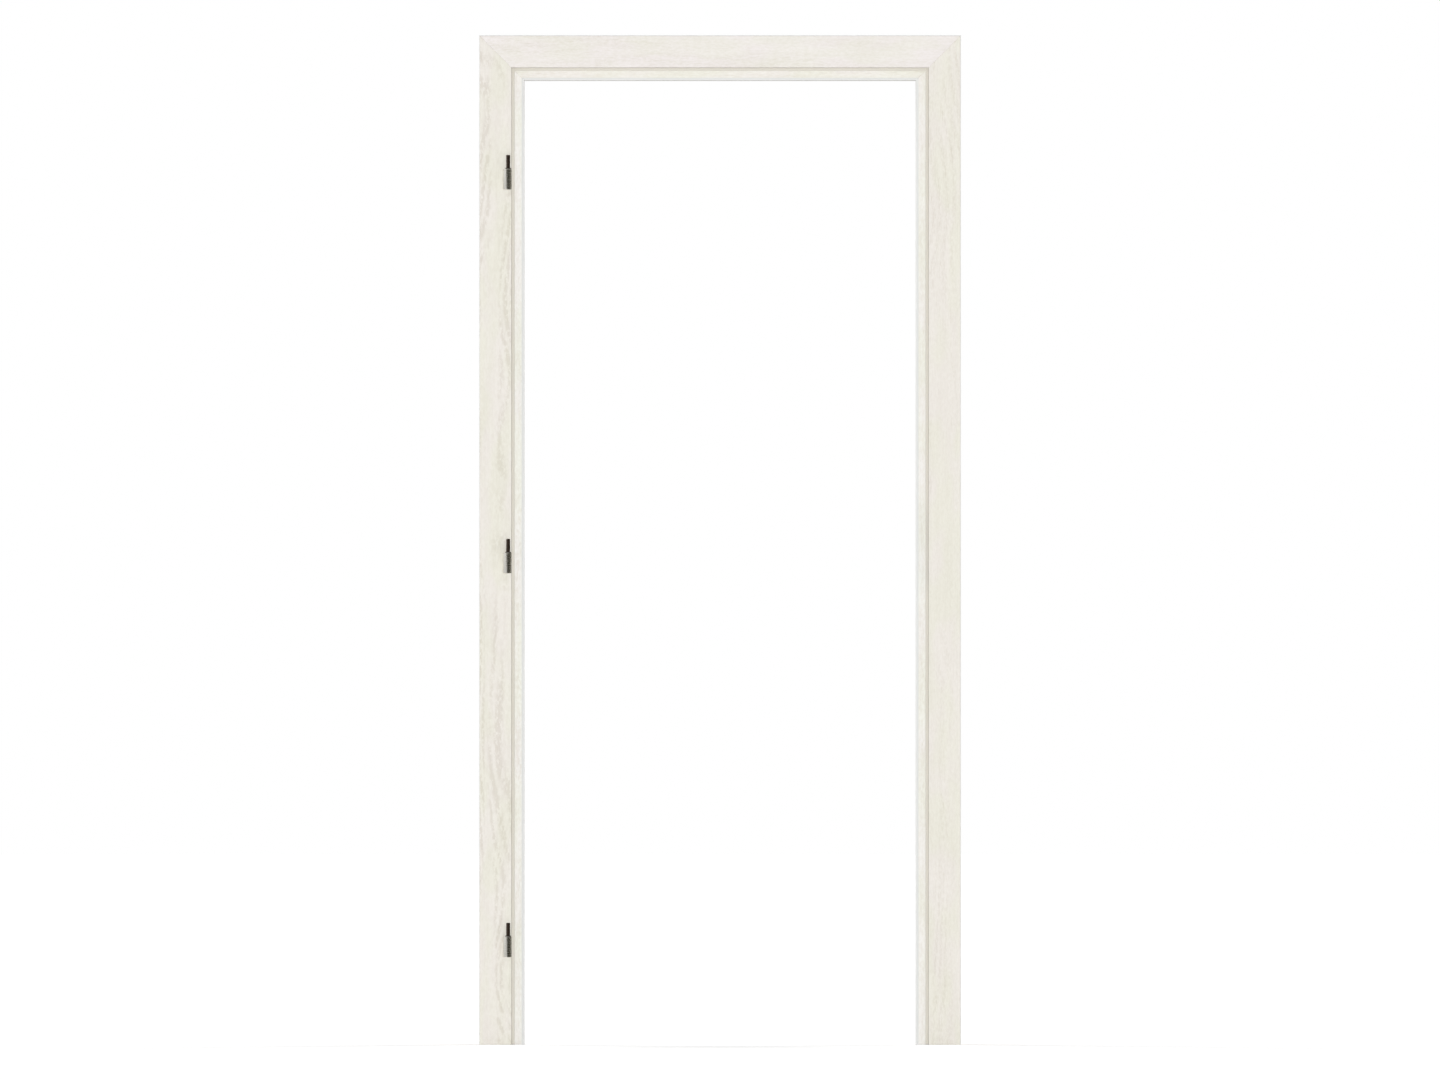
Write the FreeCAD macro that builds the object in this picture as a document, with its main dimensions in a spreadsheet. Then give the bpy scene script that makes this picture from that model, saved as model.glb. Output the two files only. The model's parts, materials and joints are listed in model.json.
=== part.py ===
import FreeCAD, Part
import math
import os
import Sketcher

# An adjustable lined door frame: two uprights and a head, each made of a lining board, a fixed
# front casing with the door rebate, and a rear casing that slides in the lining to suit the wall.
# A tubular seal runs round the rebate. The left upright carries three hinge halves with their
# pins, and the right one the strike plate.
#
# Frame: X runs across the opening, +Y goes into the wall, away from the side the door opens to,
# and +Z is up. The origin is at floor level, in the middle of the opening and of the depth.
# The cross-section is measured with two distances: u, from the outer edge of the casings towards
# the opening, and v, from the front face of the front casings into the wall.

SIZES = [
    ("clear_width", 800, "passage between the linings"),
    ("clear_height", 1970, "passage under the head lining"),
    ("wall_thickness", 120, "thinnest wall that the frame clasps"),
    ("casing_face", 66, "front casing, from its outer edge to the rebate"),
    ("casing_plate", 18, "front casing, thickness on the wall"),
    ("block_width", 18, "front casing, thick part beside the rebate"),
    ("rebate_depth", 28, "front face of the casing to the stop face of the lining"),
    ("heel_depth", 14, "front casing, part behind the seal groove that is glued to the lining"),
    ("tongue_thickness", 4.4, "glued tongue of the front casing"),
    ("tongue_length", 8, "glued tongue of the front casing"),
    ("lining_thickness", 22, "lining board"),
    ("rear_plate", 16, "rear casing, thickness on the wall"),
    ("leg_thickness", 8, "rear casing, leg that slides in the lining"),
    ("leg_setback", 7, "opening face of the lining to the face of the leg"),
    ("leg_hold", 18, "leg left in the lining when the rear casing is right out"),
    ("adjust_travel", 20, "slide of the rear casing"),
    ("slide_gap", 0.3, "clearance of the leg in its groove"),
    ("groove_end_gap", 1, "room past the end of the leg"),
    ("glue_gap", 0.1, "glue line round the tongue"),
    ("mitre_gap", 0.2, "hairline of each mitre, measured upright"),
    ("front_arris", 3, "rounding of the outer edge of the front casing"),
    ("rebate_arris", 1, "rounding of the front casing at the rebate"),
    ("stop_arris", 6, "rounding of the stop face at the opening"),
    ("rear_arris", 3, "rounding of the rear casing"),
    ("lining_arris", 2, "rounding of the rear edge of the lining"),
    ("seal_groove_width", 4, "groove between the casing and the lining"),
    ("seal_groove_depth", 10, "groove behind the stop face"),
    ("seal_width", 6, "tube of the seal, across"),
    ("seal_base", 1.7, "straight foot of the tube in front of the stop face"),
    ("seal_wall", 0.8, "wall of the tube"),
    ("seal_front", 3.2, "width of the flat front of the tube"),
    ("seal_ceiling", 2.4, "width of the flat front of its hollow"),
    ("seal_bend", 4, "centre line radius where the seal turns the corner"),
    ("seal_stem", 1.8, "thickness of the stem in the groove"),
    ("seal_stem_length", 7.5, "reach of the stem behind the stop face"),
    ("seal_barb", 0.9, "how far a barb stands out of the stem"),
    ("seal_barb_pitch", 2.6, "barb to barb"),
    ("seal_clearance", 0.2, "seal to the wood"),
    ("seal_foot_gap", 1, "seal to the floor"),
    ("knuckle_diameter", 18, "hinge knuckle"),
    ("knuckle_length", 42, "hinge knuckle"),
    ("knuckle_standoff", 0.6, "back of the knuckle to the casing"),
    ("knuckle_chamfer", 0.8, "chamfer of the lower end"),
    ("knuckle_inset", 9, "axis of the knuckle to the rebate, along the casing face"),
    ("hinge_drop", 181, "head of the passage down to the upper end of the top knuckle"),
    ("hinge_rise", 221, "floor up to the upper end of the bottom knuckle"),
    ("bush_diameter", 15, "turning bush in the knuckle, outside"),
    ("bush_length", 32, "turning bush in the knuckle"),
    ("bush_offset", 2.2, "hole of the bush off its own axis, which shifts the door"),
    ("bush_fit", 0.02, "radial clearance of the bush and of the pin in it"),
    ("pin_diameter", 8, "pin that the door's knuckle turns on"),
    ("pin_reach", 28.5, "pin above the knuckle"),
    ("pin_root", 8.6, "thicker root of the pin, pressed in the bush"),
    ("pin_chamfer", 0.4, "chamfer of the tip"),
    ("collar_corners", 11.6, "six-sided collar of the bush, across its corners"),
    ("collar_height", 2, "six-sided collar of the bush"),
    ("lug_thickness", 3.5, "flat lug of the knuckle"),
    ("lug_height", 34, "flat lug of the knuckle"),
    ("lug_reach", 66, "front face of the casing to the end of the lug"),
    ("lug_clearance", 0.3, "lug in its slot, on each side"),
    ("receiver_cheek", 6, "outer cheek of the hinge receiver"),
    ("receiver_length", 28, "hinge receiver, into the wall"),
    ("receiver_height", 50, "clamping body of the hinge receiver"),
    ("receiver_gap", 0.3, "hinge receiver to the casing"),
    ("flange_thickness", 3, "flanges of the receiver"),
    ("flange_length", 20, "each flange, above and below the body"),
    ("clamp_screw_diameter", 8, "grub screws that clamp the lug"),
    ("clamp_screw_length", 10, "grub screws that clamp the lug"),
    ("clamp_screw_pitch", 22, "grub screw to grub screw"),
    ("screw_shank", 4, "wood screws of the strike plate"),
    ("screw_head", 8, "wood screws of the strike plate"),
    ("screw_length", 16, "wood screws of the strike plate"),
    ("screw_fit", 0.1, "clearance round a screw"),
    ("biscuit_length", 36, "beech biscuit across the mitre of the lining"),
    ("biscuit_width", 13, "beech biscuit across the mitre of the lining"),
    ("biscuit_thickness", 3.2, "beech biscuit across the mitre of the lining"),
    ("biscuit_place", 78, "v of the middle of the biscuit"),
    ("biscuit_fit", 0.1, "biscuit in its slot"),
    ("strike_level", 1010, "middle of the strike plate"),
    ("strike_length", 170, "strike plate"),
    ("strike_width", 18, "strike plate"),
    ("strike_thickness", 2, "strike plate"),
    ("strike_setback", 4, "front face of the casing to the strike plate"),
    ("strike_fit", 0.2, "strike plate in its recess"),
    ("strike_screw_inset", 12, "end of the strike plate to the middle of its screw"),
    ("latch_offset", 36, "centre of the latch hole above the middle"),
    ("latch_height", 34, "latch hole"),
    ("bolt_offset", 36, "centre of the bolt hole below the middle"),
    ("bolt_height", 28, "bolt hole"),
    ("keep_width", 10.5, "latch and bolt holes, across"),
    ("keep_depth", 13, "pockets in the wood behind the plate"),
    ("keep_margin", 0.6, "pocket beyond the hole in the plate"),
    ("key_reach", 9, "dovetail key, from the mitre to each end"),
    ("key_end", 12, "dovetail key, width at its ends"),
    ("key_waist", 6, "dovetail key, width in the mitre"),
    ("key_depth", 10, "dovetail key, into the casing"),
    ("front_key_inset", 27, "u of the dovetail key in the front casing"),
    ("rear_key_inset_outer", 22, "u of the outer dovetail key in the rear casing"),
    ("rear_key_inset_inner", 55, "u of the inner dovetail key in the rear casing"),
    ("key_fit", 0.1, "dovetail key in its pocket"),
]

SIDES = {"left": -1, "right": 1}
POINTS = {"start": 1, "end": 2, "centre": 3}
SKETCH_ORIGIN = (-1, 1)
DIAGONAL = math.sqrt(0.5)
CLOSE = 1e-4

X_AXIS = FreeCAD.Vector(1, 0, 0)
Z_AXIS = FreeCAD.Vector(0, 0, 1)

os.makedirs("parts", exist_ok=True)
document = FreeCAD.newDocument("door_frame")
sheet = document.addObject("Spreadsheet::Sheet", "dims")
for row, (alias, size, meaning) in enumerate(SIZES, start=1):
    sheet.set(f"A{row}", meaning)
    sheet.set(f"B{row}", str(size))
    sheet.setAlias(f"B{row}", alias)
document.recompute()


# Places in the cross-section, as expressions of the sheet's sizes.
U_REBATE = "dims.casing_face"
U_BLOCK = "(dims.casing_face - dims.block_width)"
U_LINING = "(dims.casing_face + dims.seal_groove_width)"
U_OPENING = f"({U_LINING} + dims.lining_thickness)"
U_LEG_FACE = f"({U_OPENING} - dims.leg_setback)"
U_LEG_BACK = f"({U_LEG_FACE} - dims.leg_thickness)"
U_KNUCKLE = "(dims.casing_face - dims.knuckle_inset)"
U_PIN = f"({U_KNUCKLE} + dims.bush_offset)"
U_MID_LINING = f"({U_LINING} + dims.lining_thickness / 2)"

V_WALL_FRONT = "dims.casing_plate"
V_STOP = "dims.rebate_depth"
V_GROOVE = "(dims.rebate_depth + dims.seal_groove_depth)"
V_BLOCK = f"({V_GROOVE} + dims.heel_depth)"
V_TONGUE = f"({V_GROOVE} + (dims.heel_depth - dims.tongue_thickness) / 2)"
V_TONGUE_END = f"({V_TONGUE} + dims.tongue_thickness)"
V_WALL_REAR = "(dims.casing_plate + dims.wall_thickness)"
V_BACK = f"({V_WALL_REAR} + dims.rear_plate)"
V_LINING_END = f"({V_WALL_REAR} - dims.slide_gap)"
V_LEG = f"({V_WALL_REAR} - dims.adjust_travel - dims.leg_hold)"
V_LEG_GROOVE = f"({V_LEG} - dims.groove_end_gap)"
V_HINGE = "(-dims.knuckle_standoff - dims.knuckle_diameter / 2)"

HALF_OUTER = f"(dims.clear_width / 2 + {U_OPENING})"
OUTER_TOP = f"(dims.clear_height + {U_OPENING})"
PROUD = "(dims.knuckle_standoff + dims.knuckle_diameter)"
FRONT_Y = f"(({PROUD} - {V_BACK}) / 2)"


# Height of the upper end of each knuckle.
LEVELS = {
    "top": "(dims.clear_height - dims.hinge_drop)",
    "middle": "((dims.clear_height - dims.hinge_drop + dims.hinge_rise) / 2)",
    "bottom": "dims.hinge_rise",
}


def number(expression):
    """The present value of an expression of the sheet's sizes."""
    return float(sheet.evalExpression(str(expression)))


def at_x(side, u):
    """X of the section distance u on an upright."""
    return f"({SIDES[side]} * ({HALF_OUTER} - ({u})))"


def at_y(v):
    """Y of the section distance v."""
    return f"({FRONT_Y} + ({v}))"


def at_z(u):
    """Z of the section distance u on the head."""
    return f"({OUTER_TOP} - ({u}))"


def on_mitre(side, inset, across, along=0):
    """X and Z of a point near a mitre. It starts on the mitre at u = inset, goes the distance
    across into the head, and the distance along the mitre towards the opening."""
    x = at_x(side, f"({inset} + (({across}) + ({along})) * {DIAGONAL})")
    z = f"({OUTER_TOP} - ({inset}) + (({across}) - ({along})) * {DIAGONAL})"
    return x, z


def sketch_in(body, role, offset=None):
    """A sketch in a body, on one of its origin planes or that far along the plane's normal."""
    sketch = body.newObject("Sketcher::SketchObject", "sketch")
    plane = [f for f in body.Origin.OriginFeatures if f.Role == role][0]
    sketch.AttachmentSupport = [(plane, "")]
    sketch.MapMode = "FlatFace"
    if offset is not None:
        sketch.setExpression("AttachmentOffset.Base.z", offset)
    return sketch


def tie(sketch, kind, geometry, point, expression):
    """Holds one coordinate of a point of a sketch at an expression of the sheet's sizes."""
    where = (*SKETCH_ORIGIN, geometry, POINTS[point])
    index = sketch.addConstraint(Sketcher.Constraint(kind, *where, number(expression)))
    sketch.setExpression(f"Constraints[{index}]", str(expression))


def join(sketch, first, first_end, second, second_end):
    """Makes an end of one line of a sketch meet an end of another."""
    ends = (first, POINTS[first_end], second, POINTS[second_end])
    sketch.addConstraint(Sketcher.Constraint("Coincident", *ends))


def polygon(sketch, corners):
    """A closed outline of straight lines whose corners are pairs of expressions."""
    first = sketch.GeometryCount
    places = [FreeCAD.Vector(number(x), number(y), 0) for x, y in corners]
    for start, end in zip(places, places[1:] + places[:1]):
        sketch.addGeometry(Part.LineSegment(start, end), False)
    for i, (x, y) in enumerate(corners):
        join(sketch, first + i, "end", first + (i + 1) % len(corners), "start")
        tie(sketch, "DistanceX", first + i, "start", x)
        tie(sketch, "DistanceY", first + i, "start", y)


def circle(sketch, x, y, radius):
    """A circle with its centre and radius given by expressions."""
    centre = FreeCAD.Vector(number(x), number(y), 0)
    index = sketch.addGeometry(Part.Circle(centre, Z_AXIS, number(radius)), False)
    tie(sketch, "DistanceX", index, "centre", x)
    tie(sketch, "DistanceY", index, "centre", y)
    held = sketch.addConstraint(Sketcher.Constraint("Radius", index, number(radius)))
    sketch.setExpression(f"Constraints[{held}]", str(radius))


def nearest_end(sketch, arc, place):
    """The end of an arc that lies at a place, and the other one."""
    ends = sorted(("start", "end"), key=lambda e: sketch.getPoint(arc, POINTS[e]).distanceToPoint(place))
    return ends[0], ends[1]


def pad(body, sketch, length, midplane=False, reversed_=False):
    """Pads a sketch by an expression."""
    feature = body.newObject("PartDesign::Pad", "pad")
    feature.Profile = sketch
    feature.setExpression("Length", length)
    feature.Midplane = midplane
    feature.Reversed = reversed_
    document.recompute()
    return feature


def pocket(body, sketch, length, midplane=False, reversed_=False):
    """Pockets a sketch by an expression, and makes sure that it cuts."""
    before = body.Tip.Shape.Volume
    feature = body.newObject("PartDesign::Pocket", "pocket")
    feature.Profile = sketch
    feature.setExpression("Length", length)
    feature.Midplane = midplane
    feature.Reversed = reversed_
    document.recompute()
    if not feature.Shape.Volume < before:
        raise ValueError(f"a pocket in {body.Label} cuts nothing")
    return feature


def edge_names(feature, wanted):
    """Names of the edges of a feature that a test picks."""
    return [f"Edge{i}" for i, edge in enumerate(feature.Shape.Edges, start=1) if wanted(edge)]


def dress(body, kind, size_name, feature, wanted, size):
    """A fillet or chamfer on the picked edges of a feature."""
    dressed = body.newObject(f"PartDesign::{kind}", kind.lower())
    dressed.Base = (feature, edge_names(feature, wanted))
    dressed.setExpression(size_name, size)
    document.recompute()
    return dressed


def placed(solid, at, direction=Z_AXIS):
    """Puts an object at a point of three expressions, with its own Z axis along a direction."""
    solid.Placement = FreeCAD.Placement(FreeCAD.Vector(), FreeCAD.Rotation(Z_AXIS, direction))
    for letter, expression in zip("xyz", at):
        solid.setExpression(f"Placement.Base.{letter}", str(expression))
    return solid


def block(low, lengths):
    """A box from its low corner and its three lengths."""
    solid = document.addObject("Part::Box", "block")
    for name, expression in zip(("Length", "Width", "Height"), lengths):
        solid.setExpression(name, str(expression))
    return placed(solid, low)


def rod(radius, length, at, direction=Z_AXIS):
    """A cylinder from the centre of its first end, along a direction."""
    solid = document.addObject("Part::Cylinder", "rod")
    solid.setExpression("Radius", str(radius))
    solid.setExpression("Height", str(length))
    return placed(solid, at, direction)


def cone(first, second, length, at, direction=Z_AXIS):
    """A cone or a tapered rod from the centre of its first end, along a direction."""
    solid = document.addObject("Part::Cone", "cone")
    solid.setExpression("Radius1", str(first))
    solid.setExpression("Radius2", str(second))
    solid.setExpression("Height", str(length))
    return placed(solid, at, direction)


def fused(solids, name="fused"):
    """One solid from several."""
    if len(solids) == 1:
        return solids[0]
    joined = document.addObject("Part::MultiFuse", name)
    joined.Shapes = solids
    joined.Refine = True
    return joined


def cut(base, tools, name="cut"):
    """What is left of a base once the tools are taken out of it."""
    document.recompute()
    result = document.addObject("Part::Cut", name)
    result.Base = base
    result.Tool = fused(tools)
    result.Refine = True
    document.recompute()
    if not result.Shape.Volume < base.Shape.Volume:
        raise ValueError(f"the tools of {name} cut nothing")
    return result


def group(solids, name):
    """Separate solids under one name."""
    together = document.addObject("Part::Compound", name)
    together.Links = solids
    return together


nodes = {}


def keep(name, item):
    """Names a finished sub-part."""
    item.Label = name
    nodes[name] = item
    return item


def moved(at, direction, distance):
    """A point of three expressions, moved along a direction."""
    return [f"({p} + ({distance}) * {c})" for p, c in zip(at, tuple(direction))]


def screw(at, direction, length, gap="0"):
    """A countersunk wood screw from the middle of its head face. With a gap it is its own hole."""
    shank = f"(dims.screw_shank / 2 + {gap})"
    head = f"(dims.screw_head / 2 + {gap})"
    sink = f"(({head}) - ({shank}))"
    neck = moved(at, direction, sink)
    return fused([
        cone(head, shank, sink, at, direction),
        rod(shank, f"({length} - {sink})", neck, direction),
    ])


# Uprights and head: one profile each, carried along the member and cut to the mitre.

def casing_profile():
    """Front casing: a plate on the wall, and a thick block beside the rebate with a heel and a
    tongue behind the seal groove."""
    tongue_tip = f"({U_LINING} + dims.tongue_length)"
    return [
        ("0", "0"),
        (U_REBATE, "0"),
        (U_REBATE, V_GROOVE),
        (U_LINING, V_GROOVE),
        (U_LINING, V_TONGUE),
        (tongue_tip, V_TONGUE),
        (tongue_tip, V_TONGUE_END),
        (U_LINING, V_TONGUE_END),
        (U_LINING, V_BLOCK),
        (U_BLOCK, V_BLOCK),
        (U_BLOCK, V_WALL_FRONT),
        ("0", V_WALL_FRONT),
    ]


def lining_profile():
    """Lining board: its front edge is the door stop. A groove in its wall side takes the tongue,
    and a deep one in its rear edge takes the sliding leg."""
    groove_tip = f"({U_LINING} + dims.tongue_length + dims.glue_gap)"
    groove_front = f"({V_TONGUE} - dims.glue_gap)"
    groove_back = f"({V_TONGUE_END} + dims.glue_gap)"
    leg_low = f"({U_LEG_BACK} - dims.slide_gap)"
    leg_high = f"({U_LEG_FACE} + dims.slide_gap)"
    return [
        (U_LINING, V_STOP),
        (U_OPENING, V_STOP),
        (U_OPENING, V_LINING_END),
        (leg_high, V_LINING_END),
        (leg_high, V_LEG_GROOVE),
        (leg_low, V_LEG_GROOVE),
        (leg_low, V_LINING_END),
        (U_LINING, V_LINING_END),
        (U_LINING, groove_back),
        (groove_tip, groove_back),
        (groove_tip, groove_front),
        (U_LINING, groove_front),
    ]


def rear_casing_profile():
    """Rear casing: a plate on the wall with a leg that slides in the lining."""
    return [
        ("0", V_WALL_REAR),
        (U_LEG_BACK, V_WALL_REAR),
        (U_LEG_BACK, V_LEG),
        (U_LEG_FACE, V_LEG),
        (U_LEG_FACE, V_BACK),
        ("0", V_BACK),
    ]


def runs_through(direction, places):
    """A test for edges that run along a direction through one of some points."""
    def wanted(edge):
        if edge.Curve.TypeId != "Part::GeomLine":
            return False
        if edge.Curve.Direction.cross(direction).Length > CLOSE:
            return False
        start = edge.Vertexes[0].Point
        return any((start - place).cross(direction).Length < CLOSE for place in places)
    return wanted


def upright(name, side, profile, rounded):
    """A mitred upright. rounded lists (u, v, radius) of the edges that are rounded."""
    body = document.addObject("PartDesign::Body", name)
    sketch = sketch_in(body, "XY_Plane")
    polygon(sketch, [(at_x(side, u), at_y(v)) for u, v in profile])
    feature = pad(body, sketch, OUTER_TOP)
    for u, v, radius in rounded:
        place = FreeCAD.Vector(number(at_x(side, u)), number(at_y(v)), 0)
        feature = dress(body, "Fillet", "Radius", feature, runs_through(Z_AXIS, [place]), radius)
    top = f"({OUTER_TOP} - dims.mitre_gap)"
    mitre = sketch_in(body, "XZ_Plane")
    polygon(mitre, [
        (at_x(side, "0"), top),
        (at_x(side, U_OPENING), f"({top} - {U_OPENING})"),
        (at_x(side, U_OPENING), OUTER_TOP),
        (at_x(side, "0"), OUTER_TOP),
    ])
    pocket(body, mitre, f"(2 * {V_BACK})", midplane=True)
    return body


def head(name, profile, rounded):
    """The head, mitred at both ends."""
    body = document.addObject("PartDesign::Body", name)
    sketch = sketch_in(body, "YZ_Plane")
    polygon(sketch, [(at_y(v), at_z(u)) for u, v in profile])
    feature = pad(body, sketch, f"(2 * {HALF_OUTER})", midplane=True)
    for u, v, radius in rounded:
        place = FreeCAD.Vector(0, number(at_y(v)), number(at_z(u)))
        feature = dress(body, "Fillet", "Radius", feature, runs_through(X_AXIS, [place]), radius)
    mitre = sketch_in(body, "XZ_Plane")
    for side in SIDES:
        polygon(mitre, [
            (at_x(side, "0"), at_z("0")),
            (at_x(side, U_OPENING), at_z(U_OPENING)),
            (at_x(side, "0"), at_z(U_OPENING)),
        ])
    pocket(body, mitre, f"(2 * {V_BACK})", midplane=True)
    return body


# Dovetail keys that hold the mitres of the casings. They are let in from the wall side.

def dovetail_key(side, inset, low_y, depth, gap):
    """A straight-sided key with two dovetails, across a mitre. With a gap it is its own pocket."""
    reach = f"(dims.key_reach + {gap})"
    end = f"(dims.key_end / 2 + {gap})"
    waist = f"(dims.key_waist / 2 + {gap})"
    outline = [
        (f"(-1 * {reach})", f"(-1 * {end})"),
        ("0", f"(-1 * {waist})"),
        (reach, f"(-1 * {end})"),
        (reach, end),
        ("0", waist),
        (f"(-1 * {reach})", end),
    ]
    body = document.addObject("PartDesign::Body", "key")
    sketch = sketch_in(body, "XZ_Plane", f"(-1 * {low_y})")
    polygon(sketch, [on_mitre(side, inset, across, along) for across, along in outline])
    pad(body, sketch, depth, reversed_=True)
    return body


def front_key(side, gap="0"):
    """The key of a front mitre, flush with the wall side of the casing."""
    depth = f"(dims.key_depth + {gap})"
    return dovetail_key(side, "dims.front_key_inset", f"({at_y(V_WALL_FRONT)} - {depth})", depth, gap)


def rear_keys(side, gap="0"):
    """Both keys of a rear mitre."""
    depth = f"(dims.key_depth + {gap})"
    insets = ("dims.rear_key_inset_outer", "dims.rear_key_inset_inner")
    return [dovetail_key(side, inset, at_y(V_WALL_REAR), depth, gap) for inset in insets]


# Hinge halves on the left upright.

def hexagon(across_corners, length, at):
    """An upright six-sided prism from the centre of its lower end."""
    solid = document.addObject("Part::Prism", "hexagon")
    solid.Polygon = 6
    solid.setExpression("Circumradius", f"({across_corners}) / 2")
    solid.setExpression("Height", str(length))
    return placed(solid, at)


def knuckle_foot(which):
    """Z of the lower end of a knuckle."""
    return f"({LEVELS[which]} - dims.knuckle_length)"


def lug_middle(which):
    """Z of the middle of a lug."""
    return f"({LEVELS[which]} - dims.knuckle_length / 2)"


def lower_circle(edge):
    """A test for the round edge in the ground plane of a body."""
    return edge.Curve.TypeId == "Part::GeomCircle" and abs(edge.BoundBox.ZMax) < CLOSE


def hinge_knuckle(which):
    """A knuckle with its flat lug, modelled about its own axis and then put in place. Its blind
    bore takes the bush from above."""
    body = document.addObject("PartDesign::Body", f"knuckle_{which}")
    sketch = sketch_in(body, "XY_Plane")
    circle(sketch, "0", "0", "(dims.knuckle_diameter / 2)")
    barrel = pad(body, sketch, "dims.knuckle_length")
    dress(body, "Chamfer", "Size", barrel, lower_circle, "dims.knuckle_chamfer")
    lug = sketch_in(body, "XY_Plane", "((dims.knuckle_length - dims.lug_height) / 2)")
    half = "(dims.lug_thickness / 2)"
    end = f"(dims.lug_reach - {V_HINGE})"
    polygon(lug, [(f"-{half}", "0"), (half, "0"), (half, end), (f"-{half}", end)])
    pad(body, lug, "dims.lug_height")
    bore = sketch_in(body, "XY_Plane", "(dims.knuckle_length - dims.bush_length)")
    circle(bore, "0", "0", "(dims.bush_diameter / 2 + dims.bush_fit)")
    pocket(body, bore, "dims.bush_length", reversed_=True)
    return placed(body, (at_x("left", U_KNUCKLE), at_y(V_HINGE), knuckle_foot(which)))


def hinge_bush(which):
    """A round bush with a six-sided collar. Its hole is off the middle of its round part, so that
    turning it by the collar shifts the pin, and with it the door."""
    foot = f"({LEVELS[which]} - dims.bush_length)"
    at = (at_x("left", U_KNUCKLE), at_y(V_HINGE), foot)
    hole_at = (at_x("left", U_PIN), at_y(V_HINGE), foot)
    collar_at = (at_x("left", U_PIN), at_y(V_HINGE), LEVELS[which])
    solid = fused([
        rod("(dims.bush_diameter / 2)", "dims.bush_length", at),
        hexagon("dims.collar_corners", "dims.collar_height", collar_at),
    ])
    length = "(dims.bush_length + dims.collar_height)"
    return cut(solid, [rod("(dims.pin_root / 2 + dims.bush_fit)", length, hole_at)])


def hinge_pin(which):
    """A turned pin: a thick root in the bush, a thinner running part above its collar, and a
    chamfered tip."""
    body = document.addObject("PartDesign::Body", f"pin_{which}")
    sketch = sketch_in(body, "XZ_Plane")
    root = "(dims.pin_root / 2)"
    running = "(dims.pin_diameter / 2)"
    shoulder = "(dims.bush_length + dims.collar_height)"
    tip = "(dims.bush_length + dims.pin_reach)"
    polygon(sketch, [
        ("0", "0"),
        (root, "0"),
        (root, shoulder),
        (running, shoulder),
        (running, f"({tip} - dims.pin_chamfer)"),
        (f"({running} - dims.pin_chamfer)", tip),
        ("0", tip),
    ])
    turned = body.newObject("PartDesign::Revolution", "turned")
    turned.Profile = sketch
    turned.ReferenceAxis = (sketch, ["V_Axis"])
    turned.Angle = 360
    document.recompute()
    foot = f"({LEVELS[which]} - dims.bush_length)"
    return placed(body, (at_x("left", U_PIN), at_y(V_HINGE), foot))


def lug_slot(which):
    """The mortise of a lug, right through the casing block."""
    side = f"({U_KNUCKLE} - dims.lug_thickness / 2 - dims.lug_clearance)"
    foot = f"({lug_middle(which)} - dims.lug_height / 2 - dims.lug_clearance)"
    low = (at_x("left", side), at_y("0"), foot)
    width = "(dims.lug_thickness + 2 * dims.lug_clearance)"
    height = "(dims.lug_height + 2 * dims.lug_clearance)"
    return block(low, (width, V_BLOCK, height))


def clamp_places(which):
    """Centres of the outer ends of a receiver's two grub screws, at the lug's side."""
    lug_side = f"({U_KNUCKLE} - dims.lug_thickness / 2)"
    x = at_x("left", f"({lug_side} - dims.clamp_screw_length)")
    y = at_y(f"({V_BLOCK} + (dims.lug_reach - {V_BLOCK}) / 2)")
    return [(x, y, f"({lug_middle(which)} + {up} * dims.clamp_screw_pitch / 2)") for up in (-1, 1)]


def hinge_receiver(which):
    """A receiver on the wall side of the lining: a body with a slot that takes the lug, clamped
    by two grub screws, and a flange above and below."""
    slot_low = f"({U_KNUCKLE} - dims.lug_thickness / 2 - dims.lug_clearance)"
    slot_high = f"({U_KNUCKLE} + dims.lug_thickness / 2 + dims.lug_clearance)"
    outer = f"({slot_low} - dims.receiver_cheek)"
    front = f"({V_BLOCK} + dims.receiver_gap)"
    back = f"({front} + dims.receiver_length)"
    slot_end = "(dims.lug_reach + dims.lug_clearance)"
    body = document.addObject("PartDesign::Body", f"receiver_{which}")
    clamp = sketch_in(body, "XY_Plane", f"({lug_middle(which)} - dims.receiver_height / 2)")
    outline = [
        (outer, front),
        (slot_low, front),
        (slot_low, slot_end),
        (slot_high, slot_end),
        (slot_high, front),
        (U_LINING, front),
        (U_LINING, back),
        (outer, back),
    ]
    polygon(clamp, [(at_x("left", u), at_y(v)) for u, v in outline])
    pad(body, clamp, "dims.receiver_height")
    reach = "(dims.receiver_height / 2 + dims.flange_length)"
    flange = sketch_in(body, "XY_Plane", f"({lug_middle(which)} - {reach})")
    inner = f"({U_LINING} - dims.flange_thickness)"
    outline = [(inner, front), (U_LINING, front), (U_LINING, back), (inner, back)]
    polygon(flange, [(at_x("left", u), at_y(v)) for u, v in outline])
    pad(body, flange, f"(2 * {reach})")
    radius = "(dims.clamp_screw_diameter / 2 + dims.screw_fit)"
    holes = [rod(radius, "dims.clamp_screw_length", place, X_AXIS) for place in clamp_places(which)]
    return cut(body, holes)


# Strike plate in the rebate of the right upright.

def strike_windows(margin, depth, low_x):
    """Blocks through the latch hole and the bolt hole, that much larger all round."""
    middle_v = "(dims.strike_setback + dims.strike_width / 2)"
    latch = ("dims.latch_offset", "dims.latch_height")
    bolt = ("-dims.bolt_offset", "dims.bolt_height")
    solids = []
    for centre, height in (latch, bolt):
        tall = f"({height} + 2 * {margin})"
        wide = f"(dims.keep_width + 2 * {margin})"
        z = f"(dims.strike_level + {centre} - {tall} / 2)"
        solids.append(block((low_x, at_y(f"({middle_v} - {wide} / 2)"), z), (depth, wide, tall)))
    return solids


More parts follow.
